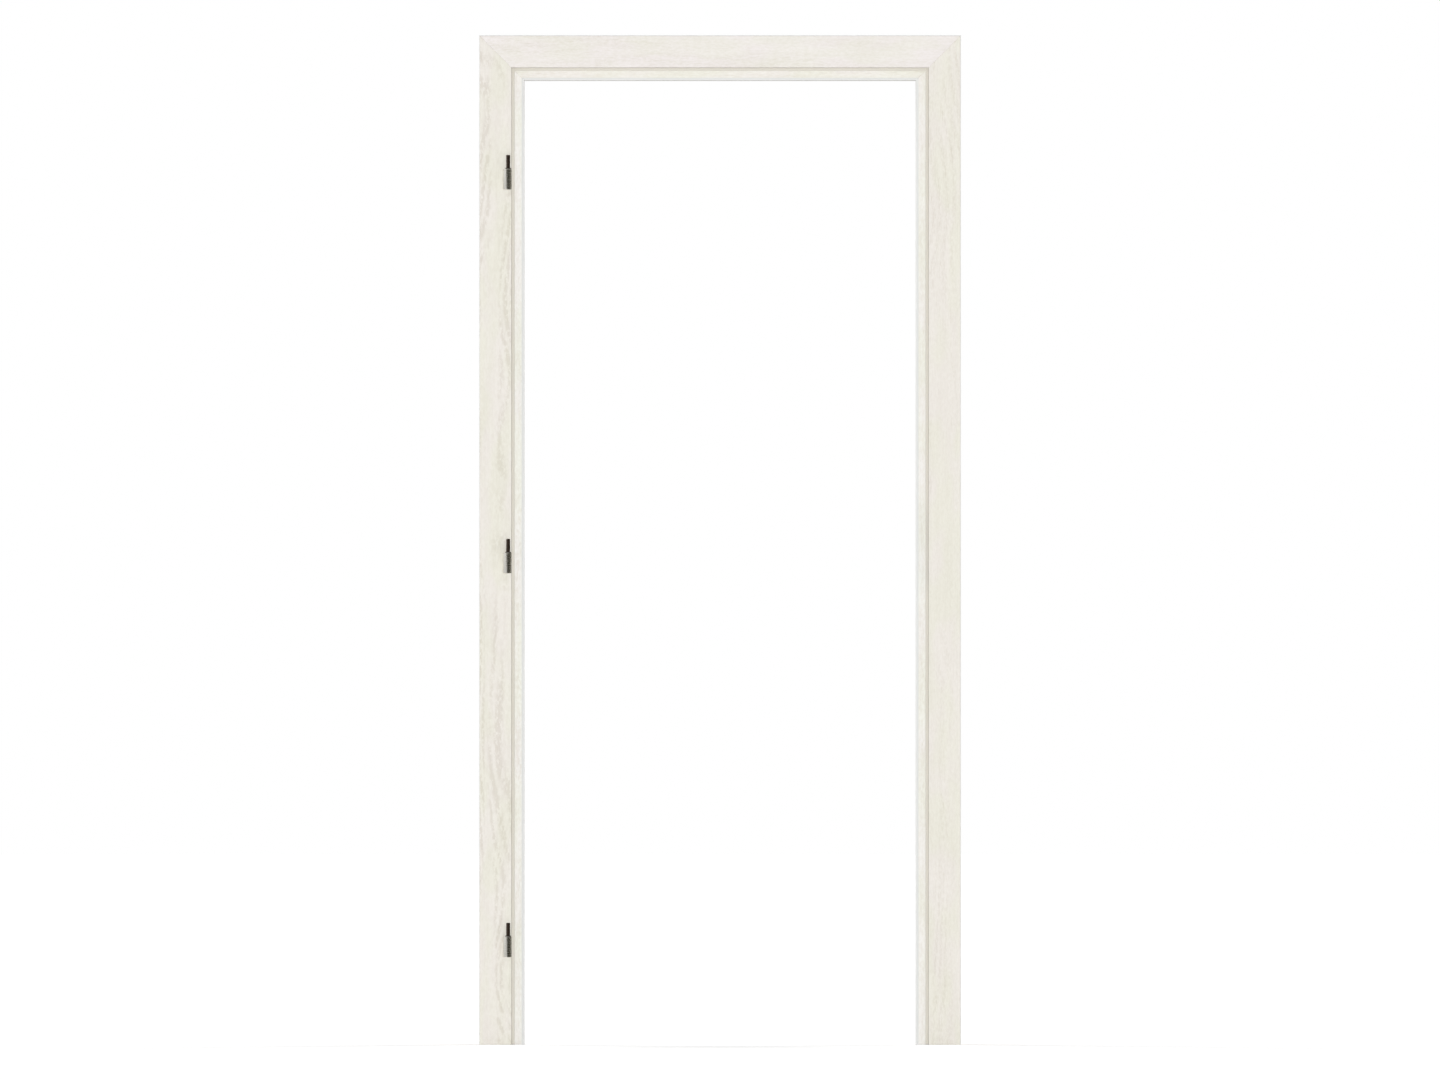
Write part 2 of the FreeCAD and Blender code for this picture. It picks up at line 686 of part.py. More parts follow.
def strike_outline(gap, name, depth):
    """A strip with half round ends, as deep as said from the rebate into the casing."""
    body = document.addObject("PartDesign::Body", name)
    low_x = at_x("right", U_REBATE)
    sketch = sketch_in(body, "YZ_Plane", low_x)
    front = at_y(f"(dims.strike_setback - {gap})")
    back = at_y(f"(dims.strike_setback + dims.strike_width + {gap})")
    straight = "((dims.strike_length - dims.strike_width) / 2)"
    polygon(sketch, [
        (front, f"(dims.strike_level - {straight})"),
        (back, f"(dims.strike_level - {straight})"),
        (back, f"(dims.strike_level + {straight})"),
        (front, f"(dims.strike_level + {straight})"),
    ])
    pad(body, sketch, depth)
    middle = at_y("(dims.strike_setback + dims.strike_width / 2)")
    for up in (-1, 1):
        end = sketch_in(body, "YZ_Plane", low_x)
        circle(end, middle, f"(dims.strike_level + {up} * {straight})", f"(dims.strike_width / 2 + {gap})")
        pad(body, end, depth)
    return body


def strike_screw_places():
    """Middles of the head faces of the two screws of the strike plate."""
    middle = at_y("(dims.strike_setback + dims.strike_width / 2)")
    apart = "(dims.strike_length / 2 - dims.strike_screw_inset)"
    return [
        (at_x("right", U_REBATE), middle, f"(dims.strike_level + {up} * {apart})")
        for up in (-1, 1)
    ]


def strike_plate():
    """The plate with its latch hole, bolt hole and countersunk screw holes."""
    plate = strike_outline("0", "strike", "dims.strike_thickness")
    windows = strike_windows("0", "dims.strike_thickness", at_x("right", U_REBATE))
    holes = [screw(place, X_AXIS, "dims.screw_length", "dims.screw_fit") for place in strike_screw_places()]
    return cut(plate, windows + holes)


def strike_recess():
    """What the strike plate, its screws and the latch and bolt take out of the right casing."""
    depth = "(dims.strike_thickness + dims.keep_depth)"
    tools = [strike_outline("dims.strike_fit", "recess", "dims.strike_thickness")]
    tools += strike_windows("dims.keep_margin", depth, at_x("right", U_REBATE))
    for place in strike_screw_places():
        tools.append(screw(place, X_AXIS, "dims.screw_length", "dims.screw_fit"))
    return tools


# Corners of the linings.

def biscuit(side, gap="0"):
    """The biscuit of a lining corner: where two wide discs meet, one on each side of the mitre.
    With a gap it is its own slot."""
    half_length = f"(dims.biscuit_length / 2 + {gap})"
    half_width = f"(dims.biscuit_width / 2 + {gap})"
    thickness = f"(dims.biscuit_thickness + 2 * {gap})"
    radius = f"(({half_length} * {half_length} + {half_width} * {half_width}) / (2 * {half_width}))"
    direction = FreeCAD.Vector(-SIDES[side] * DIAGONAL, 0, -DIAGONAL)
    discs = []
    for end in (-1, 1):
        across = f"({end} * ({radius} - {half_width}))"
        x, z = on_mitre(side, U_MID_LINING, across, f"(-1 * {thickness} / 2)")
        discs.append(rod(radius, thickness, (x, at_y("dims.biscuit_place"), z), direction))
    lens = document.addObject("Part::MultiCommon", "biscuit")
    lens.Shapes = discs
    return lens


# Seal round the rebate.

def seal_stem_outline():
    """The barbed stem of the seal in its groove, as (u, v) from the foot of the tube to the tip."""
    middle = "(dims.casing_face + dims.seal_groove_width / 2)"
    slim = "(dims.seal_stem / 2)"
    wide = f"({slim} + dims.seal_barb)"
    start = "(dims.rebate_depth - dims.seal_clearance - dims.seal_wall / 2)"
    half_side = [(slim, start)]
    for step in (1, 2):
        level = f"(dims.rebate_depth + {step} * dims.seal_barb_pitch - dims.seal_barb)"
        half_side += [(slim, level), (wide, level), (slim, f"({level} + 2 * dims.seal_barb)")]
    tip = (middle, "(dims.rebate_depth + dims.seal_stem_length)")
    right = [(f"({middle} + {w})", v) for w, v in half_side]
    left = [(f"({middle} - {w})", v) for w, v in reversed(half_side)]
    return right + [tip] + left


def tube_outline(u_middle, half_width, v_foot, v_spring, front_width):
    """A tube's six corners, as (u, v): a straight foot, two sides, and a front whose corners lie on
    a half circle."""
    half_front = f"({front_width} / 2)"
    rise = f"sqrt({half_width} * {half_width} - {half_front} * {half_front})"
    return [
        (f"({u_middle} - {half_width})", v_foot),
        (f"({u_middle} + {half_width})", v_foot),
        (f"({u_middle} + {half_width})", v_spring),
        (f"({u_middle} + {half_front})", f"({v_spring} - {rise})"),
        (f"({u_middle} - {half_front})", f"({v_spring} - {rise})"),
        (f"({u_middle} - {half_width})", v_spring),
    ]


def seal():
    """A tubular seal, led round both corners in a bend, with a barbed stem along each straight
    stretch."""
    body = document.addObject("PartDesign::Body", "seal")
    half = "(dims.seal_width / 2)"
    u_mid = f"(dims.casing_face + dims.seal_clearance + {half})"
    v_foot = "(dims.rebate_depth - dims.seal_clearance)"
    v_spring = f"({v_foot} - dims.seal_base)"
    path = seal_path(body, u_mid)

    skin = sketch_in(body, "XY_Plane", "dims.seal_foot_gap")
    outline = tube_outline(u_mid, half, v_foot, v_spring, "dims.seal_front")
    polygon(skin, [(at_x("left", u), at_y(v)) for u, v in outline])
    sweep(body, "AdditivePipe", skin, path)

    hollow = sketch_in(body, "XY_Plane", "dims.seal_foot_gap")
    inside = f"({half} - dims.seal_wall)"
    outline = tube_outline(u_mid, inside, f"({v_foot} - dims.seal_wall)", v_spring, "dims.seal_ceiling")
    polygon(hollow, [(at_x("left", u), at_y(v)) for u, v in outline])
    sweep(body, "SubtractivePipe", hollow, path)

    bend_start = f"({u_mid} + dims.seal_bend)"
    outline = seal_stem_outline()
    for side in SIDES:
        stem = sketch_in(body, "XY_Plane", "dims.seal_foot_gap")
        polygon(stem, [(at_x(side, u), at_y(v)) for u, v in outline])
        pad(body, stem, f"({at_z(bend_start)} - dims.seal_foot_gap)")
    stem = sketch_in(body, "YZ_Plane")
    polygon(stem, [(at_y(v), at_z(u)) for u, v in outline])
    pad(body, stem, f"(2 * ({HALF_OUTER} - {bend_start}))", midplane=True)
    return body


def seal_path(body, u_mid):
    """The line that the seal follows: up, round a bend, across, round a bend and down."""
    path = sketch_in(body, "XZ_Plane")
    path.setExpression("AttachmentOffset.Base.z", f"(-1 * {at_y(V_STOP)})")
    bend = "dims.seal_bend"
    turn = f"({u_mid} + {bend})"
    foot = "dims.seal_foot_gap"
    corners = [
        (at_x("left", u_mid), foot),
        (at_x("left", u_mid), at_z(turn)),
        (at_x("left", turn), at_z(u_mid)),
        (at_x("right", turn), at_z(u_mid)),
        (at_x("right", u_mid), at_z(turn)),
        (at_x("right", u_mid), foot),
    ]
    places = [FreeCAD.Vector(number(x), number(z), 0) for x, z in corners]
    radius = number(bend)
    lines = {}
    for i in (0, 2, 4):
        lines[i] = path.addGeometry(Part.LineSegment(places[i], places[i + 1]), False)
    for i, side in ((1, "left"), (3, "right")):
        centre = FreeCAD.Vector(number(at_x(side, turn)), number(at_z(turn)), 0)
        outward = FreeCAD.Vector(SIDES[side], 1, 0) * (radius * DIAGONAL)
        arc = path.addGeometry(Part.Arc(places[i], centre + outward, places[i + 1]), False)
        near, far = nearest_end(path, arc, places[i])
        join(path, lines[i - 1], "end", arc, near)
        join(path, arc, far, lines[i + 1], "start")
        tie(path, "DistanceX", arc, "centre", at_x(side, turn))
    for i in (0, 2, 4):
        for point, (x, z) in (("start", corners[i]), ("end", corners[i + 1])):
            tie(path, "DistanceX", lines[i], point, x)
            tie(path, "DistanceY", lines[i], point, z)
    document.recompute()
    return path


def sweep(body, kind, profile, path):
    """Carries a profile along the whole of a path, adding or taking away."""
    feature = body.newObject(f"PartDesign::{kind}", kind.lower())
    feature.Profile = profile
    feature.Spine = (path, [f"Edge{i + 1}" for i in range(len(path.Shape.Edges))])
    document.recompute()
    return feature


# The whole frame.

def build_casings():
    """The three front casings."""
    rounded = [("0", "0", "dims.front_arris"), (U_REBATE, "0", "dims.rebate_arris")]
    pockets = {side: front_key(side, "dims.key_fit") for side in SIDES}
    left = upright("casing_left_profile", "left", casing_profile(), rounded)
    keep("casing_left", cut(left, [pockets["left"]] + [lug_slot(which) for which in LEVELS]))
    right = upright("casing_right_profile", "right", casing_profile(), rounded)
    keep("casing_right", cut(right, [pockets["right"]] + strike_recess()))
    top = head("casing_head_profile", casing_profile(), rounded)
    keep("casing_head", cut(top, list(pockets.values())))


def build_linings():
    """The three lining boards."""
    rounded = [
        (U_OPENING, V_STOP, "dims.stop_arris"),
        (U_OPENING, V_LINING_END, "dims.lining_arris"),
    ]
    slots = {side: biscuit(side, "dims.biscuit_fit") for side in SIDES}
    for side in SIDES:
        body = upright(f"lining_{side}_profile", side, lining_profile(), rounded)
        keep(f"lining_{side}", cut(body, [slots[side]]))
    top = head("lining_head_profile", lining_profile(), rounded)
    keep("lining_head", cut(top, list(slots.values())))


def build_rear_casings():
    """The three rear casings."""
    rounded = [("0", V_BACK, "dims.rear_arris"), (U_LEG_FACE, V_BACK, "dims.rear_arris")]
    pockets = {side: rear_keys(side, "dims.key_fit") for side in SIDES}
    for side in SIDES:
        body = upright(f"rear_{side}_profile", side, rear_casing_profile(), rounded)
        keep(f"rear_casing_{side}", cut(body, pockets[side]))
    top = head("rear_head_profile", rear_casing_profile(), rounded)
    keep("rear_casing_head", cut(top, pockets["left"] + pockets["right"]))


def build_hinges():
    """The three hinge halves with their receivers."""
    for which in LEVELS:
        keep(f"hinge_knuckle_{which}", hinge_knuckle(which))
        keep(f"hinge_pin_{which}", hinge_pin(which))
        keep(f"hinge_receiver_{which}", hinge_receiver(which))
    keep("hinge_bushes", group([hinge_bush(which) for which in LEVELS], "bushes"))
    radius = "(dims.clamp_screw_diameter / 2)"
    places = [place for which in LEVELS for place in clamp_places(which)]
    clamps = [rod(radius, "dims.clamp_screw_length", place, X_AXIS) for place in places]
    keep("hinge_clamp_screws", group(clamps, "clamp_screws"))


def build_strike():
    """The strike plate and its screws."""
    keep("strike_plate", strike_plate())
    screws = [screw(place, X_AXIS, "dims.screw_length") for place in strike_screw_places()]
    keep("strike_screws", group(screws, "strike_wood_screws"))


def build_corners():
    """What holds the mitres of the linings and casings."""
    keep("lining_biscuits", group([biscuit(side) for side in SIDES], "corner_biscuits"))
    keep("front_mitre_keys", group([front_key(side) for side in SIDES], "front_keys"))
    keep("rear_mitre_keys", group([key for side in SIDES for key in rear_keys(side)], "rear_keys"))


build_casings()
build_linings()
build_rear_casings()
keep("rebate_seal", seal())
build_hinges()
build_strike()
build_corners()
document.recompute()

for item in document.Objects:
    if "Invalid" in item.State or "Error" in item.State:
        raise ValueError(f"{item.Label} failed: {item.State}")
for name, item in nodes.items():
    shape = item.Shape
    if shape.isNull() or not shape.isValid() or not shape.Solids:
        raise ValueError(f"{name} has no valid solid")
for name, item in nodes.items():
    item.Shape.exportStep(f"parts/{name}.step")
    print(f"{name}: {len(item.Shape.Solids)} solids, {item.Shape.Volume / 1000:.1f} cm3")
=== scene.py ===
import json
import math

import bpy
import numpy as np
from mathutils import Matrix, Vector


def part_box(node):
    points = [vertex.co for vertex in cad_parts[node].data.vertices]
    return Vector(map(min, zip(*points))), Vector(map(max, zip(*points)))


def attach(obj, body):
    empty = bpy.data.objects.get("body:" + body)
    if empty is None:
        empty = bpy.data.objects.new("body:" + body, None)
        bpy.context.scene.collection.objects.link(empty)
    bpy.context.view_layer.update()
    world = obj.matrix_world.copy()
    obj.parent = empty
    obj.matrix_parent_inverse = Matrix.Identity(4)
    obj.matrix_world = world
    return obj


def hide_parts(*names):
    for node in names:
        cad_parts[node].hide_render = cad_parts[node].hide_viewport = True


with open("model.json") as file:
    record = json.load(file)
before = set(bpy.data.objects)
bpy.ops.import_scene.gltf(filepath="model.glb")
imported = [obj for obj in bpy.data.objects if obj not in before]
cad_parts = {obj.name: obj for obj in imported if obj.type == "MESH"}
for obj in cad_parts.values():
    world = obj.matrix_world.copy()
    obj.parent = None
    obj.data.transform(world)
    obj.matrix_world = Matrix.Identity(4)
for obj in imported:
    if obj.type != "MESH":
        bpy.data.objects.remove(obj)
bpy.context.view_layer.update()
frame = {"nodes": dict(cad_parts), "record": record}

# Places in the frame, in metres. X runs across the opening, Y into the wall and Z up. The arrises
# are the roundings of the members' edges, and the ledge is where the seal's groove ends. A hair is
# how close counts as equal.
MM = 0.001
HAIR = 0.1 * MM
HALF_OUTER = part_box("casing_head")[1].x
OUTER_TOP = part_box("casing_head")[1].z
FRONT_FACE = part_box("casing_head")[0].y
STOP_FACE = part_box("lining_head")[0].y
LINING_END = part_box("lining_head")[1].y
REAR_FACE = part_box("rear_casing_head")[1].y
CLEAR_HALF = -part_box("lining_left")[1].x
LEG_HALF = -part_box("rear_casing_left")[1].x
REBATE_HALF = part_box("strike_plate")[0].x
CASING_ARRIS = 3 * MM
STOP_ARRIS = 6 * MM
LEDGE_FACE = STOP_FACE + 10 * MM
LINING_ARRIS = 2 * MM
LEVELS = ("top", "middle", "bottom")

# The photograph: its size and how the frame lies in it.
PHOTO_WIDTH = 1440
PHOTO_HEIGHT = 1080
METRES_PER_PIXEL = 2.0425 * MM
FRAME_MIDDLE_COLUMN = 720.05
FRAME_MIDDLE_ROW = 540.05
CAMERA_DISTANCE = 100.0
SENSOR_WIDTH = 36.0

# The studio. A sun has a heading and a height in degrees, with 0 on the camera's side and 90 on the
# right as the camera sees it, then its share of light and its width in degrees. AMBIENT and a
# sun's share are the part of its own colour that a matt face square to the light shows.
AMBIENT = 0.42
SUNS = {
    "front_sun": (0, 0.8, 0.51, 1.2),
    "rear_left_sun": (-135, 25, 0.40, 24),
    "rear_right_sun": (135, 25, 0.40, 24),
}
FLOOR_TONE = (0.86, 0.86, 0.86, 1.0)
FLOOR_GLOW = 0.40
CARD_TONE = (0.086, 0.084, 0.069, 1.0)

# New pieces: points round a turned piece, the sharpest edge that stays smooth, the share of its
# width that a cross keeps at its bottom, half the width of the seal's tube, and the least sine that
# a length is divided by.
ROUND_STEPS = 64
SMOOTH_ANGLE = math.radians(32)
CROSS_TAPER = 0.6
SEAL_HALF = 3 * MM
NEAR_ZERO = 1e-6


# Shader nodes.

def join(tree, value, socket):
    """Links a socket to another one, or sets it to a value."""
    if isinstance(value, bpy.types.NodeSocket):
        tree.links.new(value, socket)
    else:
        socket.default_value = value


def put(tree, kind, inputs=None, **settings):
    """A shader node with its inputs linked or set."""
    made = tree.nodes.new("ShaderNode" + kind)
    for name, value in settings.items():
        setattr(made, name, value)
    for key, value in (inputs or {}).items():
        join(tree, value, made.inputs[key])
    return made


def calc(tree, operation, *operands):
    """The result of one sum on numbers or sockets."""
    return put(tree, "Math", dict(enumerate(operands)), operation=operation).outputs[0]


def span(tree, value, low, high, first=0.0, last=1.0):
    """A soft step: first at or below low, last at or above high."""
    inputs = {"Value": value, "From Min": low, "From Max": high, "To Min": first, "To Max": last}
    return put(tree, "MapRange", inputs, interpolation_type="SMOOTHSTEP").outputs["Result"]


def blend(tree, factor, first, second):
    """A colour between two colours."""
    mixer = put(tree, "Mix", {0: factor}, data_type="RGBA")
    for index, colour in ((6, first), (7, second)):
        join(tree, (*colour, 1.0) if isinstance(colour, tuple) else colour, mixer.inputs[index])
    return mixer.outputs[2]


def stretched(tree, place, scale, shift=(0.0, 0.0, 0.0)):
    """A place multiplied by three scales and shifted."""
    inputs = {0: place, 1: scale, 2: shift}
    return put(tree, "VectorMath", inputs, operation="MULTIPLY_ADD").outputs[0]


def noise(tree, place, detail=2.0, roughness=0.5):
    """Soft noise from 0 to 1 that has one feature per unit of the place."""
    inputs = {"Vector": place, "Scale": 1.0, "Detail": detail, "Roughness": roughness}
    return put(tree, "TexNoise", inputs).outputs["Fac"]


def lift(tree, shader, height, strength, distance):
    """Bump on a shader from a height between 0 and 1."""
    inputs = {"Height": height, "Strength": strength, "Distance": distance}
    tree.links.new(put(tree, "Bump", inputs).outputs["Normal"], shader.inputs["Normal"])


def finish_of(name, constants):
    """A new material with its node tree and shader. Constants are set on the shader's sockets."""
    material = bpy.data.materials.new(name)
    material.use_nodes = True
    tree = material.node_tree
    shader = tree.nodes["Principled BSDF"]
    for key, value in constants.items():
        shader.inputs[key].default_value = value
    return material, tree, shader


def tone(tree, shader, pattern, first, second):
    """Base colour from the first colour where the pattern is 0 to the second where it is 1."""
    tree.links.new(blend(tree, pattern, first, second), shader.inputs["Base Color"])


def roughen(tree, shader, pattern, least, more):
    """Roughness from the least where the pattern is 0 to more than that where it is 1."""
    roughness = calc(tree, "MULTIPLY_ADD", pattern, more, least)
    tree.links.new(roughness, shader.inputs["Roughness"])


def colour(red, green, blue):
    """The linear colour of three screen values from 0 to 255, by the sRGB curve."""
    values = np.array([red, green, blue]) / 255
    linear = np.where(values <= 0.04045, values / 12.92, ((values + 0.055) / 1.055) ** 2.4)
    return tuple(float(v) for v in linear)


# Whitewashed oak foil on a board core.

PALE_OAK = colour(241, 238, 229)
PALE_HEAD = colour(246, 241, 241)
# Painted light: the stops' grounds are lighter than the plain oak, which lifts them out of the
# rebate's shade, and the head's stop less so, as its lining takes more light.
STOP_PAINTED_LIGHT_GROUND = colour(251, 253, 251)
HEAD_STOP_PAINTED_LIGHT_GROUND = colour(245, 245, 241)
SHADED_OAK = colour(211, 205, 191)
OAK_PORE = colour(198, 188, 168)
ROSY_CAST = colour(245, 239, 236)
STRAW_CAST = colour(240, 239, 225)
# Painted shade, cooler and darker, on the stop's rounded edge, and painted light where the roundings
# meet the opening and the outer edge.
EDGE_PAINTED_SHADE = colour(224, 226, 224)
EDGE_PAINTED_LIGHT = colour(250, 251, 251)
BOARD_LIGHT = colour(205, 176, 136)
BOARD_DARK = colour(166, 134, 96)

RING_WIDTH = 17 * MM
RING_WANDER = 0.24
MITRE_LINE = 1.1 * MM
# How strongly the mitre line, the edges' painted light and shade, and the cast cover the foil.
MITRE_TONE = 0.03
STOP_PAINTED_LIGHT_AND_SHADE = 0.85
OUTER_PAINTED_LIGHT = 0.7
CAST_TONE = 0.4
# Where the stop's painted light and shade fade out, going into the wall.
FADE_START = STOP_FACE + 0.75 * STOP_ARRIS
FADE_END = STOP_FACE + 2 * STOP_ARRIS

# How many features of each pattern lie in a metre: across the member, into it and along its grain.
RING_DRIFT = (6.0, 6.0, 2.6)
FIGURE_PATCHES = (26.0, 26.0, 1.7)
CAST_PATCHES = (26.0, 26.0, 9.0)
PORES = (1500.0, 1500.0, 55.0)
BOARD_CHIPS = (700.0, 700.0, 320.0)
# The same for the layers that shade the foil, with the detail and roughness of their noise, and
# the share of the shade that each gives.
SHADING = {
    "streaks": ((230.0, 230.0, 13.0), 3.0, 0.6, 0.12),
    "strands": ((80.0, 80.0, 4.0), 2.0, 0.5, 0.13),
    "blotches": ((20.0, 20.0, 8.0), 2.0, 0.5, 0.12),
    "mottle": ((240.0, 240.0, 110.0), 2.0, 0.6, 0.28),
}
# From which value of its noise up each pattern shows, and from which it shows fully.
FIGURE_SPAN = (0.42, 0.62)
MOTTLE_SPAN = (0.30, 0.62)
SHADING_SPAN = (0.30, 0.70)
PORE_SPAN = (0.56, 0.72)
CAST_SPAN = (0.35, 0.65)
CHIP_SPAN = (0.35, 0.65)


def split(tree, place):
    """The three coordinates of a place."""
    return put(tree, "SeparateXYZ", {0: place}).outputs


def grain_place(tree, member):
    """Object coordinates with X across the member, Y its depth and Z along its grain."""
    place = put(tree, "TexCoord").outputs["Object"]
    if member == "upright":
        return place
    x, y, z = split(tree, place)
    return put(tree, "CombineXYZ", {0: z, 1: y, 2: x}).outputs[0]


def near(tree, value, target):
    """1 where a value is within a hair of a target."""
    return calc(tree, "COMPARE", value, target, HAIR)


def any_of(tree, tests):
    """1 where one of several tests is 1."""
    result = tests[0]
    for test in tests[1:]:
        result = calc(tree, "MAXIMUM", result, test)
    return result


def inset_of(tree, member, place):
    """How far a place lies in from the member's outer edge."""
    x, _, z = split(tree, place)
    if member == "upright":
        return calc(tree, "SUBTRACT", HALF_OUTER, calc(tree, "ABSOLUTE", x))
    return calc(tree, "SUBTRACT", OUTER_TOP, z)


def covered(tree, member, faces):
    """1 where the foil covers the board. faces tells from the inset and Y where a covered face is.
    Cut ends and mitres are bare: there the normal leans along the member by more than a half."""
    cut_lean = 0.5
    sources = put(tree, "TexCoord").outputs
    inset = inset_of(tree, member, sources["Object"])
    foil = any_of(tree, faces(tree, inset, split(tree, sources["Object"])[1]))
    normal_x, _, normal_z = split(tree, sources["Normal"])
    lean = calc(tree, "ABSOLUTE", normal_z if member == "upright" else normal_x)
    return calc(tree, "MULTIPLY", foil, calc(tree, "LESS_THAN", lean, cut_lean))


def casing_faces(tree, inset, y):
    """Front face with its arrises, outer edge, rebate and seal ledge of a front casing."""
    return [
        calc(tree, "LESS_THAN", y, FRONT_FACE + CASING_ARRIS + HAIR),
        calc(tree, "LESS_THAN", inset, HAIR),
        near(tree, inset, HALF_OUTER - REBATE_HALF),
        near(tree, y, LEDGE_FACE),
    ]


def lining_faces(tree, inset, y):
    """Stop face, opening face, and the rear edge up to the groove of a lining."""
    opening = HALF_OUTER - CLEAR_HALF
    behind = calc(tree, "GREATER_THAN", y, LINING_END - LINING_ARRIS - HAIR)
    past_groove = calc(tree, "GREATER_THAN", inset, HALF_OUTER - LEG_HALF)
    return [
        calc(tree, "LESS_THAN", y, STOP_FACE + STOP_ARRIS + HAIR),
        calc(tree, "GREATER_THAN", inset, opening - HAIR),
        calc(tree, "MULTIPLY", behind, past_groove),
    ]


def rear_faces(tree, inset, y):
    """Back face with its arrises, outer edge and leg face of a rear casing."""
    return [
        calc(tree, "GREATER_THAN", y, REAR_FACE - CASING_ARRIS - HAIR),
        calc(tree, "LESS_THAN", inset, HAIR),
        calc(tree, "GREATER_THAN", inset, HALF_OUTER - LEG_HALF - HAIR),
    ]


def painted_edge_light_and_shade(tree, member, oak):
    """The foil colour with painted shade, cooler and darker, on the rounded edge of the stop, and
    painted light where that meets the opening and where the front face turns into the outer edge,
    lifting the shade of those roundings. The stop's painted light and shade fade out before its
    rounding ends in the opening face."""
    place = put(tree, "TexCoord").outputs["Object"]
    inset = inset_of(tree, member, place)
    y = split(tree, place)[1]
    opening = HALF_OUTER - CLEAR_HALF
    # Painted shade on the stop's rounded edge, turning to painted light at the opening.
    painted_shade_until, light_from = opening - 0.7 * STOP_ARRIS, opening - 0.1 * STOP_ARRIS
    rounded = span(tree, inset, opening - STOP_ARRIS, opening - STOP_ARRIS + MM)
    fading = span(tree, y, FADE_START, STOP_FACE + STOP_ARRIS, 1.0, 0.0)
    rounded = calc(tree, "MULTIPLY", rounded, fading)
    edge = blend(tree, span(tree, inset, painted_shade_until, light_from), EDGE_PAINTED_SHADE, EDGE_PAINTED_LIGHT)
    oak = blend(tree, calc(tree, "MULTIPLY", rounded, STOP_PAINTED_LIGHT_AND_SHADE), oak, edge)
    # Painted light where the front face rounds into the outer edge.
    outer_light_until = 0.8 * CASING_ARRIS
    outer = span(tree, inset, 0.0, outer_light_until, OUTER_PAINTED_LIGHT, 0.0)
    outer = calc(tree, "MULTIPLY", outer, calc(tree, "LESS_THAN", y, FRONT_FACE + CASING_ARRIS))
    return blend(tree, outer, oak, EDGE_PAINTED_LIGHT)


def mitre_shade(tree):
    """1 on the mitre line, where the insets from the side and from the top are equal."""
    place = put(tree, "TexCoord").outputs["Object"]
    from_side = inset_of(tree, "upright", place)
    from_top = inset_of(tree, "head", place)
    apart = calc(tree, "ABSOLUTE", calc(tree, "SUBTRACT", from_side, from_top))
    return span(tree, apart, 0.0, MITRE_LINE, 1.0, 0.0)


def growth_rings(tree, place, seed):
    """Growth rings where the face cuts them: a ring at every whole ring width across the member,
    once soft noise has pushed them far to and fro, so that they lean and close in arches."""
    across = split(tree, place)[0]
    drift = noise(tree, stretched(tree, place, RING_DRIFT, seed), detail=1.0)
    pushed = calc(tree, "MULTIPLY_ADD", drift, RING_WANDER, across)
    turns = calc(tree, "DIVIDE", pushed, RING_WIDTH / (2 * math.pi))
    return calc(tree, "MULTIPLY_ADD", calc(tree, "SINE", turns), 0.5, 0.5)


def figure_patches(tree, place, seed):
    """1 where the figure of the wood is strong: in patches that are long along the grain."""
    patches = noise(tree, stretched(tree, place, FIGURE_PATCHES, seed), detail=1.0)
    return span(tree, patches, *FIGURE_SPAN)


def ground_of(tree, place, pale):
    """The pale ground of the foil: the member's own in front, which on the linings is painted light,
    and plain oak behind the stop.
    """
    behind = span(tree, split(tree, place)[1], FADE_START, FADE_END)
    return blend(tree, behind, pale, PALE_OAK)


def cast_over(tree, place, seed, oak):
    """The foil colour with a rosy and a straw cast that take turns in soft patches."""
    start = (5.2, *seed[1:])
    patches = noise(tree, stretched(tree, place, CAST_PATCHES, start), detail=1.0)
    casts = blend(tree, span(tree, patches, *CAST_SPAN), STRAW_CAST, ROSY_CAST)
    return blend(tree, CAST_TONE, oak, casts)


